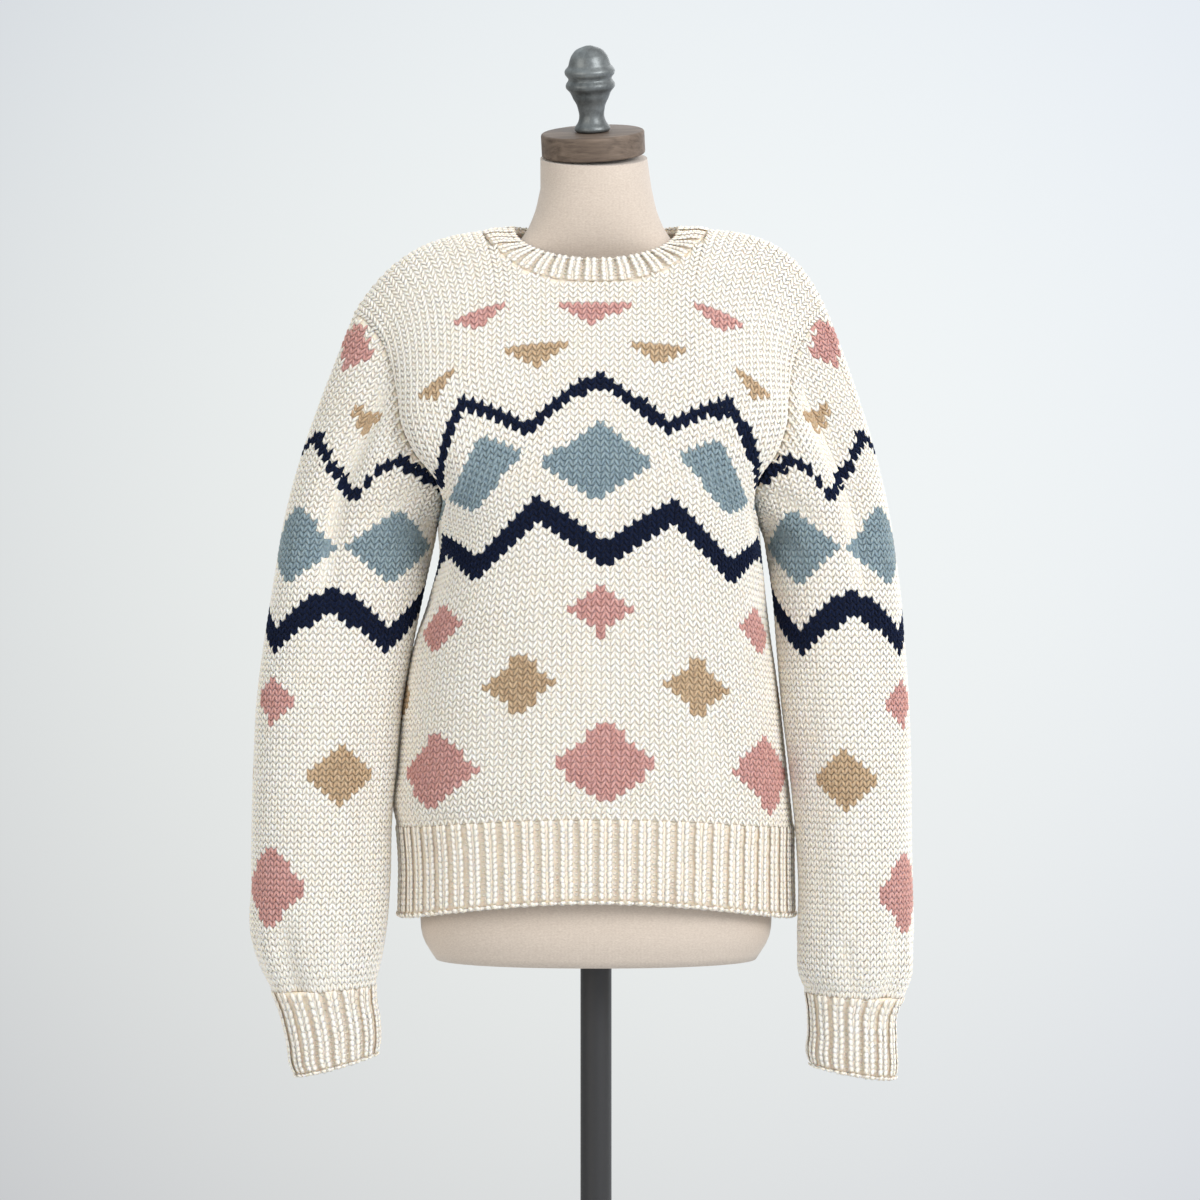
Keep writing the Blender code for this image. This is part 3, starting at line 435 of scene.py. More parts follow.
def panel_points(table, rows, shares):
    """Outer face of a panel at knit rows and places across, -1 to 1 from edge to edge."""
    rows, shares = paired(rows, shares)
    shape = rows.shape
    shares = shares.ravel()
    value = smooth(table, PANEL_COLUMNS, rows.reshape(-1, 1))
    right = (shares < 0)[:, None]
    x_edge = np.where(right, value["x_right"], value["x_left"])
    sag = np.where(right, value["sag_right"], value["sag_left"])
    turn = np.linspace(0, math.pi / 2, PANEL_STEPS)[None, :]
    out = np.sin(turn) ** (2 / value["boxy"])
    forward = np.cos(turn) ** (2 / value["boxy"])
    y = value["y_edge"] + (value["y_mid"] - value["y_edge"]) * forward
    z = value["z_mid"] + (value["z_edge"] - value["z_mid"]) * out**sag
    points = along(np.stack([x_edge * out, y, z], axis=2), np.abs(shares))
    points[:, 0] *= np.sign(shares)
    return points.reshape(*shape, 3)


def sleeve_ring(side, rows, around):
    """Points of the level part of a sleeve. around runs from -1, inner line at the back, through 0,
    the outer line, to 1, the inner line again."""
    rows, around = paired(rows, around)
    shape = rows.shape
    around = (around.ravel() + 1) % 2 - 1
    value = smooth(SLEEVE_ROWS[side], SLEEVE_COLUMNS, rows.reshape(-1, 1))
    turn = np.linspace(0, math.pi, RING_STEPS)[None, :] * np.where(around < 0, -1, 1)[:, None]
    turn = turn + np.radians(value["turn"])
    x = side * (value["out"] + value["wide"] * np.cos(turn))
    y = value["y"] - value["deep"] * np.sin(turn)
    z = value["z"] - value["slant"] / 2 * np.cos(turn)
    return along(np.stack([x, y, z], axis=2), np.abs(around)).reshape(*shape, 3)


def armhole_point(side, around):
    """The armhole seam, from the shoulder tip (around 0) to the underarm (1 in front, -1 behind)."""
    around = np.asarray(around, float).ravel()
    rows = np.linspace(SHOULDER_ROW, UNDERARM_ROW, ARMHOLE_STEPS)
    front = panel_points(FRONT_ROWS, rows, side)
    back = panel_points(BACK_ROWS, rows, side)
    lines = np.where((around >= 0)[:, None, None], front[None], back[None])
    return along(lines, np.abs(around))


def cap_lines(side, around):
    """One line for each place around the sleeve, from the level ring at the underarm to the armhole."""
    low = sleeve_ring(side, SLEEVE_UNDERARM_ROW, around)
    below = sleeve_ring(side, SLEEVE_UNDERARM_ROW - CAP_FOOT_ROWS, around)
    high = armhole_point(side, around)
    length = np.linalg.norm(high - low, axis=1)[:, None]
    way = smooth(CAP_WAYS, CAP_COLUMNS, np.abs(around))
    ways = [-side * way["inwards"], np.sign(around) * way["deeper"], way["upwards"]]
    leave = unit(low - below) * length
    arrive = unit(np.stack(ways, axis=-1)) * length * CAP_PULL
    t = np.linspace(0, 1, CAP_STEPS)[None, :, None]
    return curve(low[:, None], high[:, None], leave[:, None], arrive[:, None], t)


def crease_depth(creases, stitches, rows):
    """How far troughs sink below, and ridges stand above, the full outline at stitches and rows."""
    depth = np.zeros(np.broadcast(stitches, rows).shape)
    gauge = ROW_HEIGHT / STITCH_WIDTH
    for from_stitch, from_row, to_stitch, to_row, half_width, deep in creases:
        run = np.array([to_stitch - from_stitch, (to_row - from_row) * gauge])
        length = np.hypot(*run)
        run = run / length
        du = stitches - from_stitch
        dv = (rows - from_row) * gauge
        place = (du * run[0] + dv * run[1]) / length
        off = du * run[1] - dv * run[0]
        fade = np.exp(-(((place - 0.5) / 0.5) ** 4) * CREASE_FADE)
        depth = depth + deep * fade * np.exp(-((off / half_width) ** 2))
    return depth


def chest_half(rows):
    """Stitches in half a panel: cast off under the arm between the underarm and the yoke."""
    return np.interp(rows, [UNDERARM_ROW, YOKE_ROW], [CHEST_HALF, YOKE_HALF])


def neck_top_row(stitches, drop):
    """The knit row at which the neckline ends a column of stitches."""
    c = np.minimum(np.abs(np.asarray(stitches, float)) / NECK_HALF, 1)
    return SHOULDER_ROW - drop * (1 - c**NECK_CURVE) ** (1 / NECK_CURVE)


def chart(motifs, lines, stitches, rows):
    """The yarn of each stitch, from the chart."""
    yarns = np.full(np.broadcast(stitches, rows).shape, CREAM)
    for shape, yarn, row, half_rows, half_stitches, centres in motifs:
        for centre in centres:
            across = np.abs(stitches - centre) / half_stitches
            if shape == "diamond":
                inside = across + np.abs(rows - row) / half_rows < 1
            else:
                below = (row - rows) / half_rows
                inside = (below >= 0) & (across + below < 1)
            yarns[inside] = yarn
    for half_rows, bends in lines:
        places, heights = zip(*bends)
        yarns[np.abs(rows - np.interp(stitches, places, heights)) < half_rows] = NAVY
    return yarns


def body_yarns(stitches, rows):
    """Yarns of the front and of the back."""
    return chart(BODY_MOTIFS, BODY_LINES, stitches, rows)


def sleeve_yarns(stitches, rows):
    """Yarns of a sleeve, whose rows rise towards its outer side above the underarm."""
    high = np.maximum(rows - SLEEVE_UNDERARM_ROW, 0)
    tilt = 1 - SLEEVE_ROW_TILT * np.maximum(1 - np.abs(stitches) / SLEEVE_HALF / SLEEVE_TILT_END, 0)
    return chart(SLEEVE_MOTIFS, SLEEVE_LINES, stitches, rows - high * (1 - tilt))


def local_frames(surface, stitches, rows, reach=0.5):
    """Points of a surface, one stitch across, one row up and its outward normals."""
    across = (surface(stitches + reach, rows) - surface(stitches - reach, rows)) / (2 * reach)
    up = (surface(stitches, rows + reach) - surface(stitches, rows - reach)) / (2 * reach)
    return surface(stitches, rows), across, up, unit(np.cross(across, up))


def creased(surface, creases, fade=None):
    """The surface with its creases pressed in."""

    def pressed(stitches, rows):
        points, _, _, normals = local_frames(surface, stitches, rows)
        depth = crease_depth(creases, stitches, rows)
        if fade is not None:
            depth = depth * fade(stitches, rows)
        return points - normals * depth[..., None]

    return pressed


def panel_surface(table):
    """The outer face of the front or the back by stitches and rows, turned so that it faces out."""
    flip = 1 if table is FRONT_ROWS else -1

    def surface(stitches, rows):
        return panel_points(table, rows, flip * stitches / chest_half(rows))

    return surface


def sleeve_surface(side):
    """The outer face of a sleeve by stitches and knit rows, and the row at which its cap ends."""
    grid = np.linspace(-1, 1, 4 * SLEEVE_HALF + 1)
    lines = cap_lines(side, grid)
    run = runs(lines)[1] / ROW_HEIGHT
    cap_rows = np.arange(0, math.ceil(run.max()) + 3, CAP_ROW_STEP)
    table = np.empty((len(grid), len(cap_rows), 3))
    for i, line in enumerate(lines):
        for axis in range(3):
            table[i, :, axis] = np.interp(cap_rows, run[i], line[:, axis])
        beyond = np.maximum(cap_rows - run[i, -1], 0)[:, None]
        table[i] += beyond * unit(line[-1] - line[-2]) * ROW_HEIGHT

    def surface(stitches, rows):
        stitches, rows = paired(stitches, rows)
        around = (-side * stitches / SLEEVE_HALF + 1) % 2 - 1
        low = sleeve_ring(side, np.minimum(rows, SLEEVE_UNDERARM_ROW), around)
        i = np.clip((around + 1) / 2 * (len(grid) - 1), 0, len(grid) - 1.001)
        j = np.clip((rows - SLEEVE_UNDERARM_ROW) / CAP_ROW_STEP, 0, len(cap_rows) - 1.001)
        i0 = i.astype(int)
        j0 = j.astype(int)
        s = (i - i0)[..., None]
        t = (j - j0)[..., None]
        near = table[i0, j0] * (1 - t) + table[i0, j0 + 1] * t
        far = table[i0 + 1, j0] * (1 - t) + table[i0 + 1, j0 + 1] * t
        high = near * (1 - s) + far * s
        return np.where((rows > SLEEVE_UNDERARM_ROW)[..., None], high, low)

    places = np.linspace(-1, 1, CAP_END_STEPS)
    ends = np.interp(places, grid, run[:, -1]) + SLEEVE_UNDERARM_ROW

    def end_row(stitches):
        return np.interp(-side * stitches / SLEEVE_HALF, places, ends)

    return surface, end_row


def new_mesh(name, points, quads, triangles=np.empty((0, 3), int), kinds=None):
    """A mesh from points in millimetres, corner numbers and, if given, each face's material number."""
    mesh = bpy.data.meshes.new(name)
    mesh.vertices.add(len(points))
    mesh.vertices.foreach_set("co", (points * MM).astype(np.float32).ravel())
    corners = np.concatenate([quads.ravel(), triangles.ravel()]).astype(np.int32)
    mesh.loops.add(len(corners))
    mesh.loops.foreach_set("vertex_index", corners)
    sides = np.repeat([4, 3], [len(quads), len(triangles)])
    mesh.polygons.add(len(sides))
    mesh.polygons.foreach_set("loop_start", (np.cumsum(sides) - sides).astype(np.int32))
    if kinds is not None:
        mesh.polygons.foreach_set("material_index", np.asarray(kinds, np.int32))
    mesh.update(calc_edges=True)
    mesh.shade_smooth()
    return mesh


def add_object(name, data, place=(0, 0, 0)):
    """An object in the scene."""
    made = bpy.data.objects.new(name, data)
    made.location = place
    bpy.context.scene.collection.objects.link(made)
    return made


def add_piece(name, mesh, materials):
    """A piece of the object, on its one body."""
    for material in materials:
        mesh.materials.append(material)
    piece = add_object(name, mesh)
    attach(piece, "root")
    return piece


def shell_piece(name, outer, inner, closed, materials, kinds=None):
    """A closed shell between two grids of points, in place of a solid: rows run up, columns across."""
    rows, columns = outer.shape[:2]
    spans = columns if closed else columns - 1
    number = np.arange(rows * columns).reshape(rows, columns)
    left = number[:, :spans]
    right = number[:, (np.arange(spans) + 1) % columns]
    skin = np.stack([left[:-1], right[:-1], right[1:], left[1:]], axis=-1).reshape(-1, 4)
    edges = [(left[0], right[0], 1), (left[-1], right[-1], -1)]
    if not closed:
        edges += [(number[:-1, 0], number[1:, 0], -1), (number[:-1, -1], number[1:, -1], 1)]
    faces = [skin, skin[:, ::-1] + number.size]
    for low, high, flip in edges:
        rim = np.stack([low, low + number.size, high + number.size, high], axis=-1)
        faces.append(rim[:, ::flip])
    quads = np.concatenate(faces)
    if kinds is not None:
        # Rims and inner faces take the first material, which on every shell is the cream with painted shade
        kinds = np.concatenate([kinds.ravel(), np.full(len(quads) - kinds.size, CREAM)])
    points = np.concatenate([outer.reshape(-1, 3), inner.reshape(-1, 3)])
    mesh = new_mesh(name + "_cloth", points, quads, kinds=kinds)
    piece = add_piece(name + "_cloth", mesh, materials)
    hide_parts(name)
    return piece


def wall_shell(name, points, normals, closed, kinds):
    """Shell of a panel or sleeve, from just under its outer face to its inner one, above its rib."""
    outer = points - normals * SHELL_DEPTH
    inner = points - normals * WALL
    outer[0, :, 2] += RIB_GAP / 2
    inner[0, :, 2] = outer[0, :, 2]
    return shell_piece(name, outer, inner, closed, UNDER_MATERIALS, kinds)


def leg_faces():
    """Quads and triangles of one yarn leg: a foot, three rings of three points and a head."""
    turns = ((0, 1), (1, 2), (2, 0))
    quads = [(low + a, low + b, low + 3 + b, low + 3 + a) for low in (1, 4) for a, b in turns]
    triangles = [(0, 1 + b, 1 + a) for a, b in turns]
    triangles += [(10, 7 + a, 7 + b) for a, b in turns]
    return np.array(quads), np.array(triangles)


def leg_points(frames, template, mirror, plump):
    """Points of one leg on each stitch: its foot, three rings and its head."""
    points, across, up, normals = frames
    spine = np.stack([points + (mirror * a * across + b * up) for a, b, _, _ in template], axis=1)
    sideways = unit(np.cross(unit(spine[:, -1] - spine[:, 0]), normals))
    edge = normals * LEG_EDGE
    made = []
    for middle, (_, _, half_width, ridge) in zip(np.swapaxes(spine, 0, 1), template):
        if half_width == 0:
            made.append((middle + normals * ridge)[:, None])
            continue
        aside = sideways * (half_width * plump)
        ring = [middle - aside + edge, middle + normals * (ridge * plump), middle + aside + edge]
        made.append(np.stack(ring, axis=1))
    return np.concatenate(made, axis=1)


def add_stitches(name, frames, templates, yarn):
    """One piece of yarn legs. Each template is a leg and the side of its stitch on which it is made."""
    quads, triangles = leg_faces()
    count = len(frames[0])
    blocks = []
    for template, mirror in templates:
        plump = random.uniform(*PLUMP_RANGE, count)[:, None]
        shifted = frames[0] + frames[1] * random.normal(0, WANDER_ACROSS, count)[:, None]
        shifted = shifted + frames[2] * random.normal(0, WANDER_UP, count)[:, None]
        blocks.append(leg_points((shifted, *frames[1:]), template, mirror, plump))
    points = np.concatenate(blocks)
    offsets = np.arange(len(points))[:, None, None] * points.shape[1]
    quads = (quads[None] + offsets).reshape(-1, 4)
    triangles = (triangles[None] + offsets).reshape(-1, 3)
    mesh = new_mesh(name, points.reshape(-1, 3), quads, triangles)
    return add_piece(name, mesh, [YARN_MATERIALS[yarn]])


KNIT = ((KNIT_LEG, 1), (KNIT_LEG, -1))
RIB = ((RIB_LEG, 1), (RIB_LEG, -1))
PURL = ((PURL_BUMP, 1),)
EDGE = ((EDGE_LOOP, 1),)


def knit(name, surface, columns, fits, yarns_at, tall):
    """Stitch pieces of a panel or sleeve, one for each yarn."""
    rows, stitches = np.meshgrid(np.arange(MOST_ROWS, dtype=float), columns, indexing="ij")
    keep = fits(stitches, rows)
    rows = rows[keep]
    stitches = stitches[keep]
    yarns = yarns_at(stitches, rows + 0.5)
    for yarn, word in enumerate(YARN_WORDS):
        chosen = np.flatnonzero(yarns == yarn)
        frames = local_frames(surface, stitches[chosen], rows[chosen])
        add_stitches(f"{name}_{word}", frames, KNIT, yarn)


def set_inputs(shader, **values):
    """Plain values of a shader's sockets, by name with _ for spaces."""
    for name, value in values.items():
        shader.inputs[name.replace("_", " ")].default_value = value


def finish(name, colour, roughness, metallic=0.0):
    """A plain finish, its node tree and its shader, ready for a texture."""
    material = bpy.data.materials.new(name)
    material.use_nodes = True
    shader = material.node_tree.nodes["Principled BSDF"]
    set_inputs(shader, Base_Color=(*colour, 1), Roughness=roughness, Metallic=metallic)
    return material, material.node_tree, shader


def maths(tree, operation, *values):
    """Result of a maths node on plain numbers and other nodes' outputs."""
    node = tree.nodes.new("ShaderNodeMath")
    node.operation = operation
    for socket, value in zip(node.inputs, values):
        if isinstance(value, float):
            socket.default_value = value
        else:
            tree.links.new(value, socket)
    return node.outputs[0]


def textured(tree, kind, stretch=(1, 1, 1), **values):
    """A texture node at object coordinates, stretched by a scale for each axis."""
    place = tree.nodes.new("ShaderNodeTexCoord")
    mapping = tree.nodes.new("ShaderNodeMapping")
    set_inputs(mapping, Scale=stretch)
    texture = tree.nodes.new(kind)
    set_inputs(texture, **values)
    tree.links.new(place.outputs["Object"], mapping.inputs["Vector"])
    tree.links.new(mapping.outputs["Vector"], texture.inputs["Vector"])
    return texture


def noise(tree, **values):
    """Value of a noise texture."""
    return textured(tree, "ShaderNodeTexNoise", **values).outputs["Fac"]


def toned(tree, shader, value, dark, light, low=0.3, high=0.7):
    """Base colour from dark to light by a value."""
    ramp = tree.nodes.new("ShaderNodeValToRGB")
    for element, place, colour in zip(ramp.color_ramp.elements, (low, high), (dark, light)):
        element.position = place
        element.color = (*colour, 1)
    tree.links.new(value, ramp.inputs["Fac"])
    tree.links.new(ramp.outputs["Color"], shader.inputs["Base Color"])


def bumped(tree, shader, height, strength, distance):
    """Fine relief from a height value."""
    bump = tree.nodes.new("ShaderNodeBump")
    set_inputs(bump, Strength=strength, Distance=distance)
    tree.links.new(height, bump.inputs["Height"])
    tree.links.new(bump.outputs["Normal"], shader.inputs["Normal"])


def wool(name, colour, dark):
    """Matt wool yarn: each leg has its own tone, with heather flecks, fibre bump and a soft sheen."""
    material, tree, shader = finish(name, colour, 0.92)
    set_inputs(
        shader,
        Specular_IOR_Level=0.08,
        Sheen_Weight=0.04,
        Sheen_Roughness=0.55,
        Sheen_Tint=(*(0.5 + 0.5 * c for c in colour), 1),
        Subsurface_Weight=0.45,
        Subsurface_Radius=(1.0, 0.75, 0.5),
        Subsurface_Scale=0.0035,
    )
    flecks = noise(tree, Scale=520.0, Detail=2.0, Roughness=0.5)
    patches = noise(tree, Scale=24.0, Detail=3.0, Roughness=0.6)
    fibres = noise(tree, Scale=1500.0, Detail=4.0, Roughness=0.7, Distortion=0.6)
    leg = tree.nodes.new("ShaderNodeNewGeometry").outputs["Random Per Island"]
    tone = maths(tree, "MULTIPLY_ADD", patches, 0.4, maths(tree, "MULTIPLY_ADD", leg, 0.3, flecks))
    toned(tree, shader, tone, dark, colour, 0.3, 0.95)
    bumped(tree, shader, fibres, 0.35, 0.0005)
    return material


YARN_MATERIALS = [
    wool("cream_wool", (0.95, 0.88, 0.775), (0.86, 0.745, 0.60)),
    wool("navy_wool", (0.006, 0.011, 0.034), (0.003, 0.005, 0.015)),
    wool("blue_wool", (0.26, 0.335, 0.37), (0.15, 0.205, 0.24)),
    wool("rose_wool", (0.63, 0.34, 0.31), (0.42, 0.20, 0.18)),
    wool("tan_wool", (0.54, 0.385, 0.25), (0.33, 0.215, 0.125)),
    # The same cream yarn made darker and warmer: painted shade for shells, rib shells and purl bumps in the
    # grooves
    wool("painted_shade_wool", (0.89, 0.79, 0.66), (0.76, 0.63, 0.49)),
]
# Shells show between the stitches, where their cream cells take a darker, warmer cream: painted shade for
# the grooves between stitches
UNDER_MATERIALS = [YARN_MATERIALS[PAINTED_SHADE_CREAM], *YARN_MATERIALS[NAVY:PAINTED_SHADE_CREAM]]


def panel_shell(name, drop, surface, facing):
    """Shell of the front or the back: its rows shrink towards the neckline."""
    columns = np.linspace(-1, 1, 2 * CHEST_HALF + 1)
    levels = np.arange(SHOULDER_ROW + 1.0)
    shrink = (neck_top_row(columns * YOKE_HALF, drop) - UNDERARM_ROW) / (SHOULDER_ROW - UNDERARM_ROW)
    above = np.maximum(levels[:, None] - UNDERARM_ROW, 0)
    rows = np.minimum(levels, UNDERARM_ROW)[:, None] + above * shrink[None, :]
    stitches = columns[None, :] * chest_half(rows)
    points, _, _, normals = local_frames(surface, stitches, rows, FINE_REACH)
    side_rows = rows[:, 0] <= UNDERARM_ROW
    shoulder = np.abs(columns) >= NECK_HALF / YOKE_HALF
    for row, column in ((side_rows, 0), (side_rows, -1), (-1, shoulder)):
        points[row, column, 1] += facing * SEAM_GAP / 2
        normals[row, column, 1] = 0
    middle_rows = (rows[:-1, :-1] + rows[1:, 1:]) / 2
    middle_stitches = (stitches[:-1, :-1] + stitches[1:, 1:]) / 2
    return wall_shell(name, points, unit(normals), False, body_yarns(middle_stitches, middle_rows))


def build_panel(name, table, drop, creases, facing):
    """The front or the back: its shell and its stitches."""
    surface = creased(panel_surface(table), creases)
    shell = panel_shell(name, drop, surface, facing)

    def fits(stitches, rows):
        inside = np.abs(stitches) < chest_half(rows + 0.5) - SIDE_ROOM
        return inside & (rows + TOP_ROOM < neck_top_row(stitches, drop))

    columns = np.arange(-CHEST_HALF, CHEST_HALF) + 0.5
    knit(name, surface, columns, fits, body_yarns, SHOULDER_ROW)


def build_sleeve(name, side):
    """A set-in sleeve: its shell and its stitches, whose columns end at the armhole seam."""
    plain, end_row = sleeve_surface(side)

    def fade(stitches, rows):
        return np.clip((end_row(stitches) - rows) / SEAM_FADE_ROWS, 0, 1)

    creases = [(-side * start, row, -side * end, *rest) for start, row, end, *rest in SLEEVE_CREASES]
    surface = creased(plain, creases, fade)
    columns = np.arange(-SLEEVE_HALF, SLEEVE_HALF).astype(float)
    levels = np.arange(SLEEVE_UNDERARM_ROW + 1.0)
    shares = np.linspace(0, 1, CAP_SHELL_ROWS + 1)[1:]
    over = (end_row(columns) - SLEEVE_UNDERARM_ROW)[None, :]
    low = np.repeat(levels[:, None], len(columns), axis=1)
    rows = np.concatenate([low, SLEEVE_UNDERARM_ROW + shares[:, None] * over])
    stitches = np.broadcast_to(columns[None, :], rows.shape)
    points, _, _, normals = local_frames(surface, stitches, rows, FINE_REACH)
    kinds = sleeve_yarns(-side * (stitches[:-1] + 0.5), (rows[:-1] + rows[1:]) / 2)
    shell = wall_shell(name, points, normals, True, kinds)

    def fits(stitches, rows):
        return rows + TOP_ROOM < end_row(stitches)

    def yarns_at(stitches, rows):
        return sleeve_yarns(-side * stitches, rows)

    knit(name, surface, columns + 0.5, fits, yarns_at, float(end_row(0.0)))


def ribbed(surface, height):
    """The surface with one rib over each two stitches, its crest at the odd numbers."""

    def relief(stitches, rows):
        points, _, _, normals = local_frames(surface, stitches, rows)
        wave = np.cos((stitches - 1) * math.pi)
        wave = np.sign(wave) * np.abs(wave) ** RIB_SHARPNESS
        return points + normals * (wave * height / 2)[..., None]

    return relief


def rib_stitches(label, surface, stitches, rows, templates, yarn):
    """One piece of a rib's legs at every one of its stitches and rows."""
    rows, stitches = np.meshgrid(np.asarray(rows, float), np.asarray(stitches, float))
    frames = local_frames(surface, stitches.ravel(), rows.ravel())
    return add_stitches(label, frames, templates, yarn)


def rib_pieces(name, surface, count, first_row, rows_up, closed, edge_row):
    """A ribbed band: its shell, knit columns, purl bumps in the grooves and bound-off edge."""
    steps = np.linspace(0, count, count * 2 + 1)
    if closed:
        steps = steps[:-1]
    levels = np.linspace(first_row, first_row + rows_up, rows_up // 2 + 1)
    stitches, rows = np.meshgrid(steps, levels)
    raised = ribbed(surface, RIB_HEIGHT)
    plain, _, _, normals = local_frames(surface, stitches, rows)
    outer = raised(stitches, rows) - normals * SHELL_DEPTH
    inner = plain - normals * (WALL + RIB_HEIGHT / 2)
    # The rib's shell shows in its grooves, coloured with the cream with painted shade
    shell = shell_piece(name, outer, inner, closed, [YARN_MATERIALS[PAINTED_SHADE_CREAM]])
    up = first_row + np.arange(rows_up)
    edges = ribbed(surface, RIB_HEIGHT * EDGE_RELIEF)
    made = [
        rib_stitches(name + "_knit", raised, np.arange(1, count, 2), up, RIB, CREAM),
        # Purl bumps lie in the grooves and take the cream with painted shade
        rib_stitches(name + "_purl", raised, np.arange(0, count, 2), up, PURL, PAINTED_SHADE_CREAM),
        rib_stitches(name + "_edge", edges, np.arange(count) + 0.5, [edge_row], EDGE, CREAM),
    ]


def build_hem(name, table):
    """Ribbed hem of one panel."""
    flip = 1 if table is FRONT_ROWS else -1

    def surface(stitches, rows):
        shares = flip * (stitches / CHEST_HALF - 1)
        return panel_points(table, rows, np.clip(shares, -1, 1))

    rib_pieces(name, surface, 2 * CHEST_HALF, HEM_ROW, -HEM_ROW, False, HEM_ROW + EDGE_ROW)


def build_cuff(name, side):
    """Ribbed cuff of one sleeve."""

    def surface(stitches, rows):
        return sleeve_ring(side, rows, -side * (stitches / CUFF_STITCHES * 2 - 1))

    rib_pieces(name, surface, CUFF_STITCHES, CUFF_ROW, -CUFF_ROW, True, CUFF_ROW + EDGE_ROW)


def neckline():
    """Points and outward normals of the necklines of the front and the back, as one closed loop."""
    stitches = np.linspace(-1, 1, NECK_STEPS) * NECK_HALF
    loop = []
    for table, drop in ((FRONT_ROWS, FRONT_NECK_DROP), (BACK_ROWS, BACK_NECK_DROP)):
        rows = neck_top_row(stitches, drop)
        points, _, _, normals = local_frames(panel_surface(table), stitches, rows, FINE_REACH)
        loop.append(np.stack([points, normals])[:, :-1])
    return np.concatenate([*loop, loop[0][:, :1]], axis=1)


def band_surface():
    """The neckband's face by stitches round the neck and rows up, from its foot to its top edge."""
    edge, normal = neckline()
    run = runs(edge[None])[1][0]
    run = run / run[-1]

    def at_share(line, share):
        return np.stack([np.interp(share, run, line[:, k]) for k in range(3)], axis=-1)

    def surface(stitches, rows):
        stitches, rows = paired(stitches, rows)
        at = (stitches / NECK_STITCHES) % 1
        foot = at_share(edge, at)
        outward = unit(at_share(normal, at))
        angle = np.arctan2(foot[..., 0] / BAND_HALF_WIDTH, -foot[..., 1] / BAND_FRONT)
        front = np.cos(angle) > 0
        y = -np.cos(angle) * np.where(front, BAND_FRONT, BAND_BACK)
        z = BAND_SIDE_Z - np.cos(angle) * np.where(front, BAND_FRONT_DROP, BAND_BACK_RISE)
        top = np.stack([BAND_HALF_WIDTH * np.sin(angle), y, z], axis=-1)
        share = (rows / NECK_ROWS)[..., None]
        bulge = np.sin(np.clip(share, 0, 1) * math.pi) * BAND_BULGE
        away = unit(foot + top - 2 * NECK_MIDDLE)
        turn = np.clip(share / BAND_TURN_END, 0, 1)
        rise = unit(top - foot) * BAND_GAP
        return foot + rise + (top - foot - rise) * share + unit(outward * (1 - turn) + away * turn) * bulge

    return surface


def build_neckband():
    """Ribbed neckband."""
    edge_row = NECK_ROWS - NECK_EDGE_ROW
    rib_pieces("neckband", band_surface(), NECK_STITCHES, 0, NECK_ROWS, True, edge_row)


def linen():
    """Plain woven linen: threads both ways, slubs and a soft sheen."""
    material, tree, shader = finish("linen", (0.80, 0.71, 0.60), 0.85)
    set_inputs(shader, Sheen_Weight=0.3, Sheen_Roughness=0.5)
    slubs = noise(tree, stretch=(500, 500, 1100), Scale=1.0, Detail=3.0)
    toned(tree, shader, slubs, (0.52, 0.44, 0.375), (0.62, 0.54, 0.465))
    threads = []
    for axis in ("Z", "X"):
        thread = textured(tree, "ShaderNodeTexWave", Scale=260.0, Distortion=1.2, Detail=1.0)
        thread.bands_direction = axis
        threads.append(thread.outputs["Fac"])
    bumped(tree, shader, maths(tree, "MAXIMUM", *threads), 0.4, 0.0004)
    return material


def walnut():
    """Dark turned wood with streaked grain and a satin finish."""
    material, tree, shader = finish("walnut", (0.12, 0.09, 0.07), 0.6)
    grain = noise(tree, stretch=(16, 120, 260), Scale=1.0, Detail=6.0, Roughness=0.65, Distortion=0.4)
    toned(tree, shader, grain, (0.070, 0.047, 0.033), (0.190, 0.140, 0.105))
    bumped(tree, shader, grain, 0.2, 0.0005)
    return material


def cast_metal():
    """Grey cast metal, softly mottled and slightly pitted."""
    material, tree, shader = finish("cast_metal", (0.17, 0.185, 0.19), 0.42, 0.55)
    mottle = noise(tree, Scale=45.0, Detail=8.0, Roughness=0.75)
    toned(tree, shader, mottle, (0.050, 0.057, 0.060), (0.24, 0.262, 0.267))
    bumped(tree, shader, mottle, 0.35, 0.0012)
    return material


def painted_metal():
    """Black painted metal with a fine grainy finish."""
    material, tree, shader = finish("painted_metal", (0.028, 0.028, 0.03), 0.45, 0.2)
    bumped(tree, shader, noise(tree, Scale=900.0, Detail=2.0), 0.15, 0.0002)
    return material


def ringed_piece(node, rings, material, sharp):
    """A closed piece through rings of points, from its lowest to its highest, in place of its solid."""
    count, sides = rings.shape[:2]
    number = np.arange(count * sides).reshape(count, sides)
    after = np.roll(number, -1, axis=1)
    quads = np.stack([number[:-1], after[:-1], after[1:], number[1:]], axis=-1).reshape(-1, 4)
    foot = np.full(sides, count * sides)
    under = np.stack([foot, after[0], number[0]], axis=1)
    over = np.stack([foot + 1, number[-1], after[-1]], axis=1)
    triangles = np.concatenate([under, over])
    points = np.concatenate([rings.reshape(-1, 3), rings[[0, -1]].mean(axis=1)])
    mesh = new_mesh(node + "_fine", points, quads, triangles)
    mesh.set_sharp_from_angle(angle=math.radians(sharp))
    piece = add_piece(node + "_fine", mesh, [material])
    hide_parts(node)


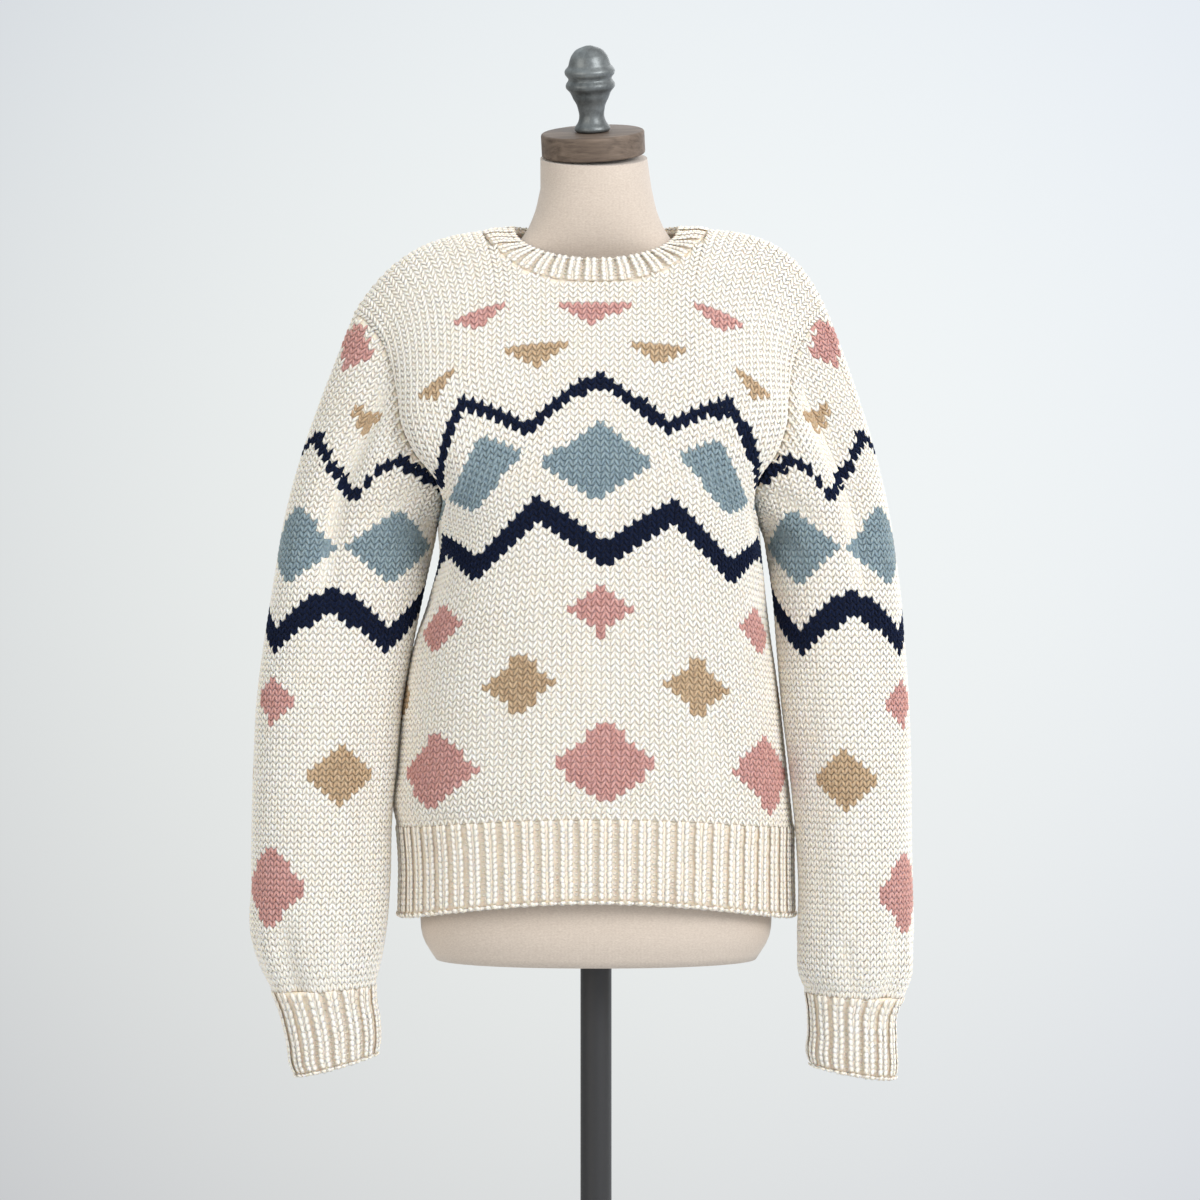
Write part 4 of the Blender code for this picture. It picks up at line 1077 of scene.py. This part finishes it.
def form_rings():
    """Rings of the torso and neck, from the flat underside to the leaning top of the neck."""
    turn = np.arange(FORM_SIDES) * 2 * math.pi / FORM_SIDES
    s = np.sin(turn)
    c = np.cos(turn)
    levels = np.linspace(FORM_LEVELS[0][0], FORM_LEVELS[-1][0], FORM_RINGS)
    size = smooth(FORM_LEVELS, FORM_COLUMNS, levels[:, None])
    x = size["half_width"] * np.sign(s) * np.abs(s) ** (2 / FORM_BOXY)
    y = -np.where(c > 0, size["front"], size["back"]) * np.sign(c) * np.abs(c) ** (2 / FORM_BOXY)
    rings = np.stack([x, y, np.broadcast_to(levels[:, None], x.shape)], axis=-1)
    lean = math.radians(NECK_LEAN)
    round_neck = NECK_RADIUS * np.stack([s, -c * math.cos(lean), -c * math.sin(lean)], axis=-1)
    top = np.array(NECK_TOP) + round_neck
    shares = np.linspace(0, 1, LEAN_RINGS + 1)[1:, None, None]
    return np.concatenate([rings, rings[-1] + (top - rings[-1]) * shares])


def spun(profile):
    """Rings of a turned piece from its (height, radius) pairs, about its own upright axis."""
    turn = np.arange(TURNED_SIDES) * 2 * math.pi / TURNED_SIDES
    height, radius = np.asarray(profile, float).T
    x = radius[:, None] * np.cos(turn)
    y = radius[:, None] * np.sin(turn)
    return np.stack([x, y, np.broadcast_to(height[:, None], x.shape)], axis=-1)


def on_neck(rings, distance):
    """A turned piece stood on the leaning neck, that far above the neck's top."""
    lean = math.radians(NECK_LEAN)
    roll = math.radians(CAP_ROLL)
    turned = np.array(Matrix.Rotation(-roll, 3, "Y") @ Matrix.Rotation(lean, 3, "X"))
    away = np.array([-math.sin(roll), -math.sin(lean), math.cos(lean)])
    return rings @ turned.T + np.array(NECK_TOP) + distance * away


def rounded(low, high, radius, edge):
    """Profile of a disc between two heights, its edges rounded."""
    bend = np.linspace(0, math.pi / 2, EDGE_STEPS)
    lower = [(low + edge * (1 - math.cos(b)), radius - edge * (1 - math.sin(b))) for b in bend]
    upper = [(high - edge * (1 - math.cos(b)), radius - edge * (1 - math.sin(b))) for b in bend[::-1]]
    return lower + upper


def build_stand():
    """Form, cap, finial, pole and base, finer than their solids."""
    metal = painted_metal()
    ringed_piece("dress_form", form_rings(), linen(), 60)
    clearance = CAP_RADIUS * math.sin(math.radians(CAP_ROLL)) + SEAM_GAP
    cap = rounded(0, CAP_THICKNESS, CAP_RADIUS, CAP_EDGE)
    ringed_piece("neck_cap", on_neck(spun(cap), clearance), walnut(), 40)
    heights = np.linspace(0, FINIAL_ROWS[-1][0], FINIAL_RINGS)
    finial = np.stack([heights, smooth(FINIAL_ROWS, FINIAL_COLUMNS, heights)["radius"]], axis=1)
    finial_foot = clearance + CAP_THICKNESS + SEAM_GAP
    ringed_piece("finial", on_neck(spun(finial), finial_foot), cast_metal(), 50)
    ringed_piece("stand_pole", spun(POLE_ROWS), metal, 40)
    ringed_piece("stand_base", spun(BASE_ROWS), metal, 25)


def add_light(name, place, size, power, colour):
    """A soft square light, aimed at the middle of the object."""
    light = bpy.data.lights.new(name, "AREA")
    light.size = size
    light.energy = power
    light.color = colour
    aim = Vector(LIGHT_TARGET) - Vector(place)
    add_object(name, light, place).rotation_euler = aim.to_track_quat("-Z", "Y").to_euler()


def backdrop():
    """Pale light all round, brighter to the right and above, by direction."""
    world = bpy.data.worlds.new("studio")
    world.use_nodes = True
    tree = world.node_tree
    place = tree.nodes.new("ShaderNodeTexCoord")
    parts = tree.nodes.new("ShaderNodeSeparateXYZ")
    tree.links.new(place.outputs["Generated"], parts.inputs["Vector"])
    x = parts.outputs["X"]
    z = parts.outputs["Z"]
    away = maths(tree, "MULTIPLY_ADD", x, x, maths(tree, "MULTIPLY", z, z))
    spread = maths(tree, "MINIMUM", maths(tree, "DIVIDE", away, BACKDROP_SPREAD), 1.0)
    colour = tree.nodes.new("ShaderNodeCombineXYZ")
    for socket, (middle, across, up, falls) in zip(colour.inputs, BACKDROP_ROWS):
        value = maths(tree, "MULTIPLY_ADD", x, across, middle)
        value = maths(tree, "MULTIPLY_ADD", z, up, value)
        value = maths(tree, "SUBTRACT", value, maths(tree, "MULTIPLY", spread, falls))
        value = maths(tree, "MAXIMUM", value, BACKDROP_LOW)
        tree.links.new(maths(tree, "MINIMUM", value, BACKDROP_HIGH), socket)
    tree.links.new(colour.outputs[0], tree.nodes["Background"].inputs["Color"])
    bpy.context.scene.world = world


def studio_floor():
    """A pale disc round the stand that fades at its rim."""
    bpy.ops.mesh.primitive_circle_add(vertices=96, radius=FLOOR_RADIUS, fill_type="NGON")
    floor = bpy.context.object
    floor.name = "floor"
    material, tree, shader = finish("floor_finish", (0.66, 0.67, 0.67), 0.9)
    place = tree.nodes.new("ShaderNodeTexCoord")
    reach = tree.nodes.new("ShaderNodeVectorMath")
    reach.operation = "LENGTH"
    tree.links.new(place.outputs["Object"], reach.inputs[0])
    rim = tree.nodes.new("ShaderNodeMapRange")
    start, end = FLOOR_FADE
    set_inputs(rim, From_Min=FLOOR_RADIUS * start, From_Max=FLOOR_RADIUS * end, To_Min=1.0, To_Max=0.0)
    tree.links.new(reach.outputs["Value"], rim.inputs["Value"])
    tree.links.new(rim.outputs["Result"], shader.inputs["Alpha"])
    floor.data.materials.append(material)


def add_studio():
    """Backdrop, floor, lights, and the camera at the photo's height."""
    backdrop()
    studio_floor()
    for light in LIGHTS:
        add_light(*light)
    camera = bpy.data.cameras.new("camera")
    camera.lens = CAMERA_LENS
    camera.sensor_width = CAMERA_SENSOR
    eye = add_object("camera", camera, CAMERA_PLACE)
    eye.rotation_euler = (math.pi / 2, 0, 0)
    bpy.context.scene.camera = eye
    bpy.context.scene.view_settings.view_transform = "Standard"


def build():
    """The studio, the stand and every knitted piece."""
    add_studio()
    build_stand()
    build_panel("front", FRONT_ROWS, FRONT_NECK_DROP, FRONT_CREASES, -1)
    build_panel("back", BACK_ROWS, BACK_NECK_DROP, BACK_CREASES, 1)
    build_hem("hem_front", FRONT_ROWS)
    build_hem("hem_back", BACK_ROWS)
    for word, side in (("right", -1), ("left", 1)):
        build_sleeve("sleeve_" + word, side)
        build_cuff("cuff_" + word, side)
    build_neckband()


build()
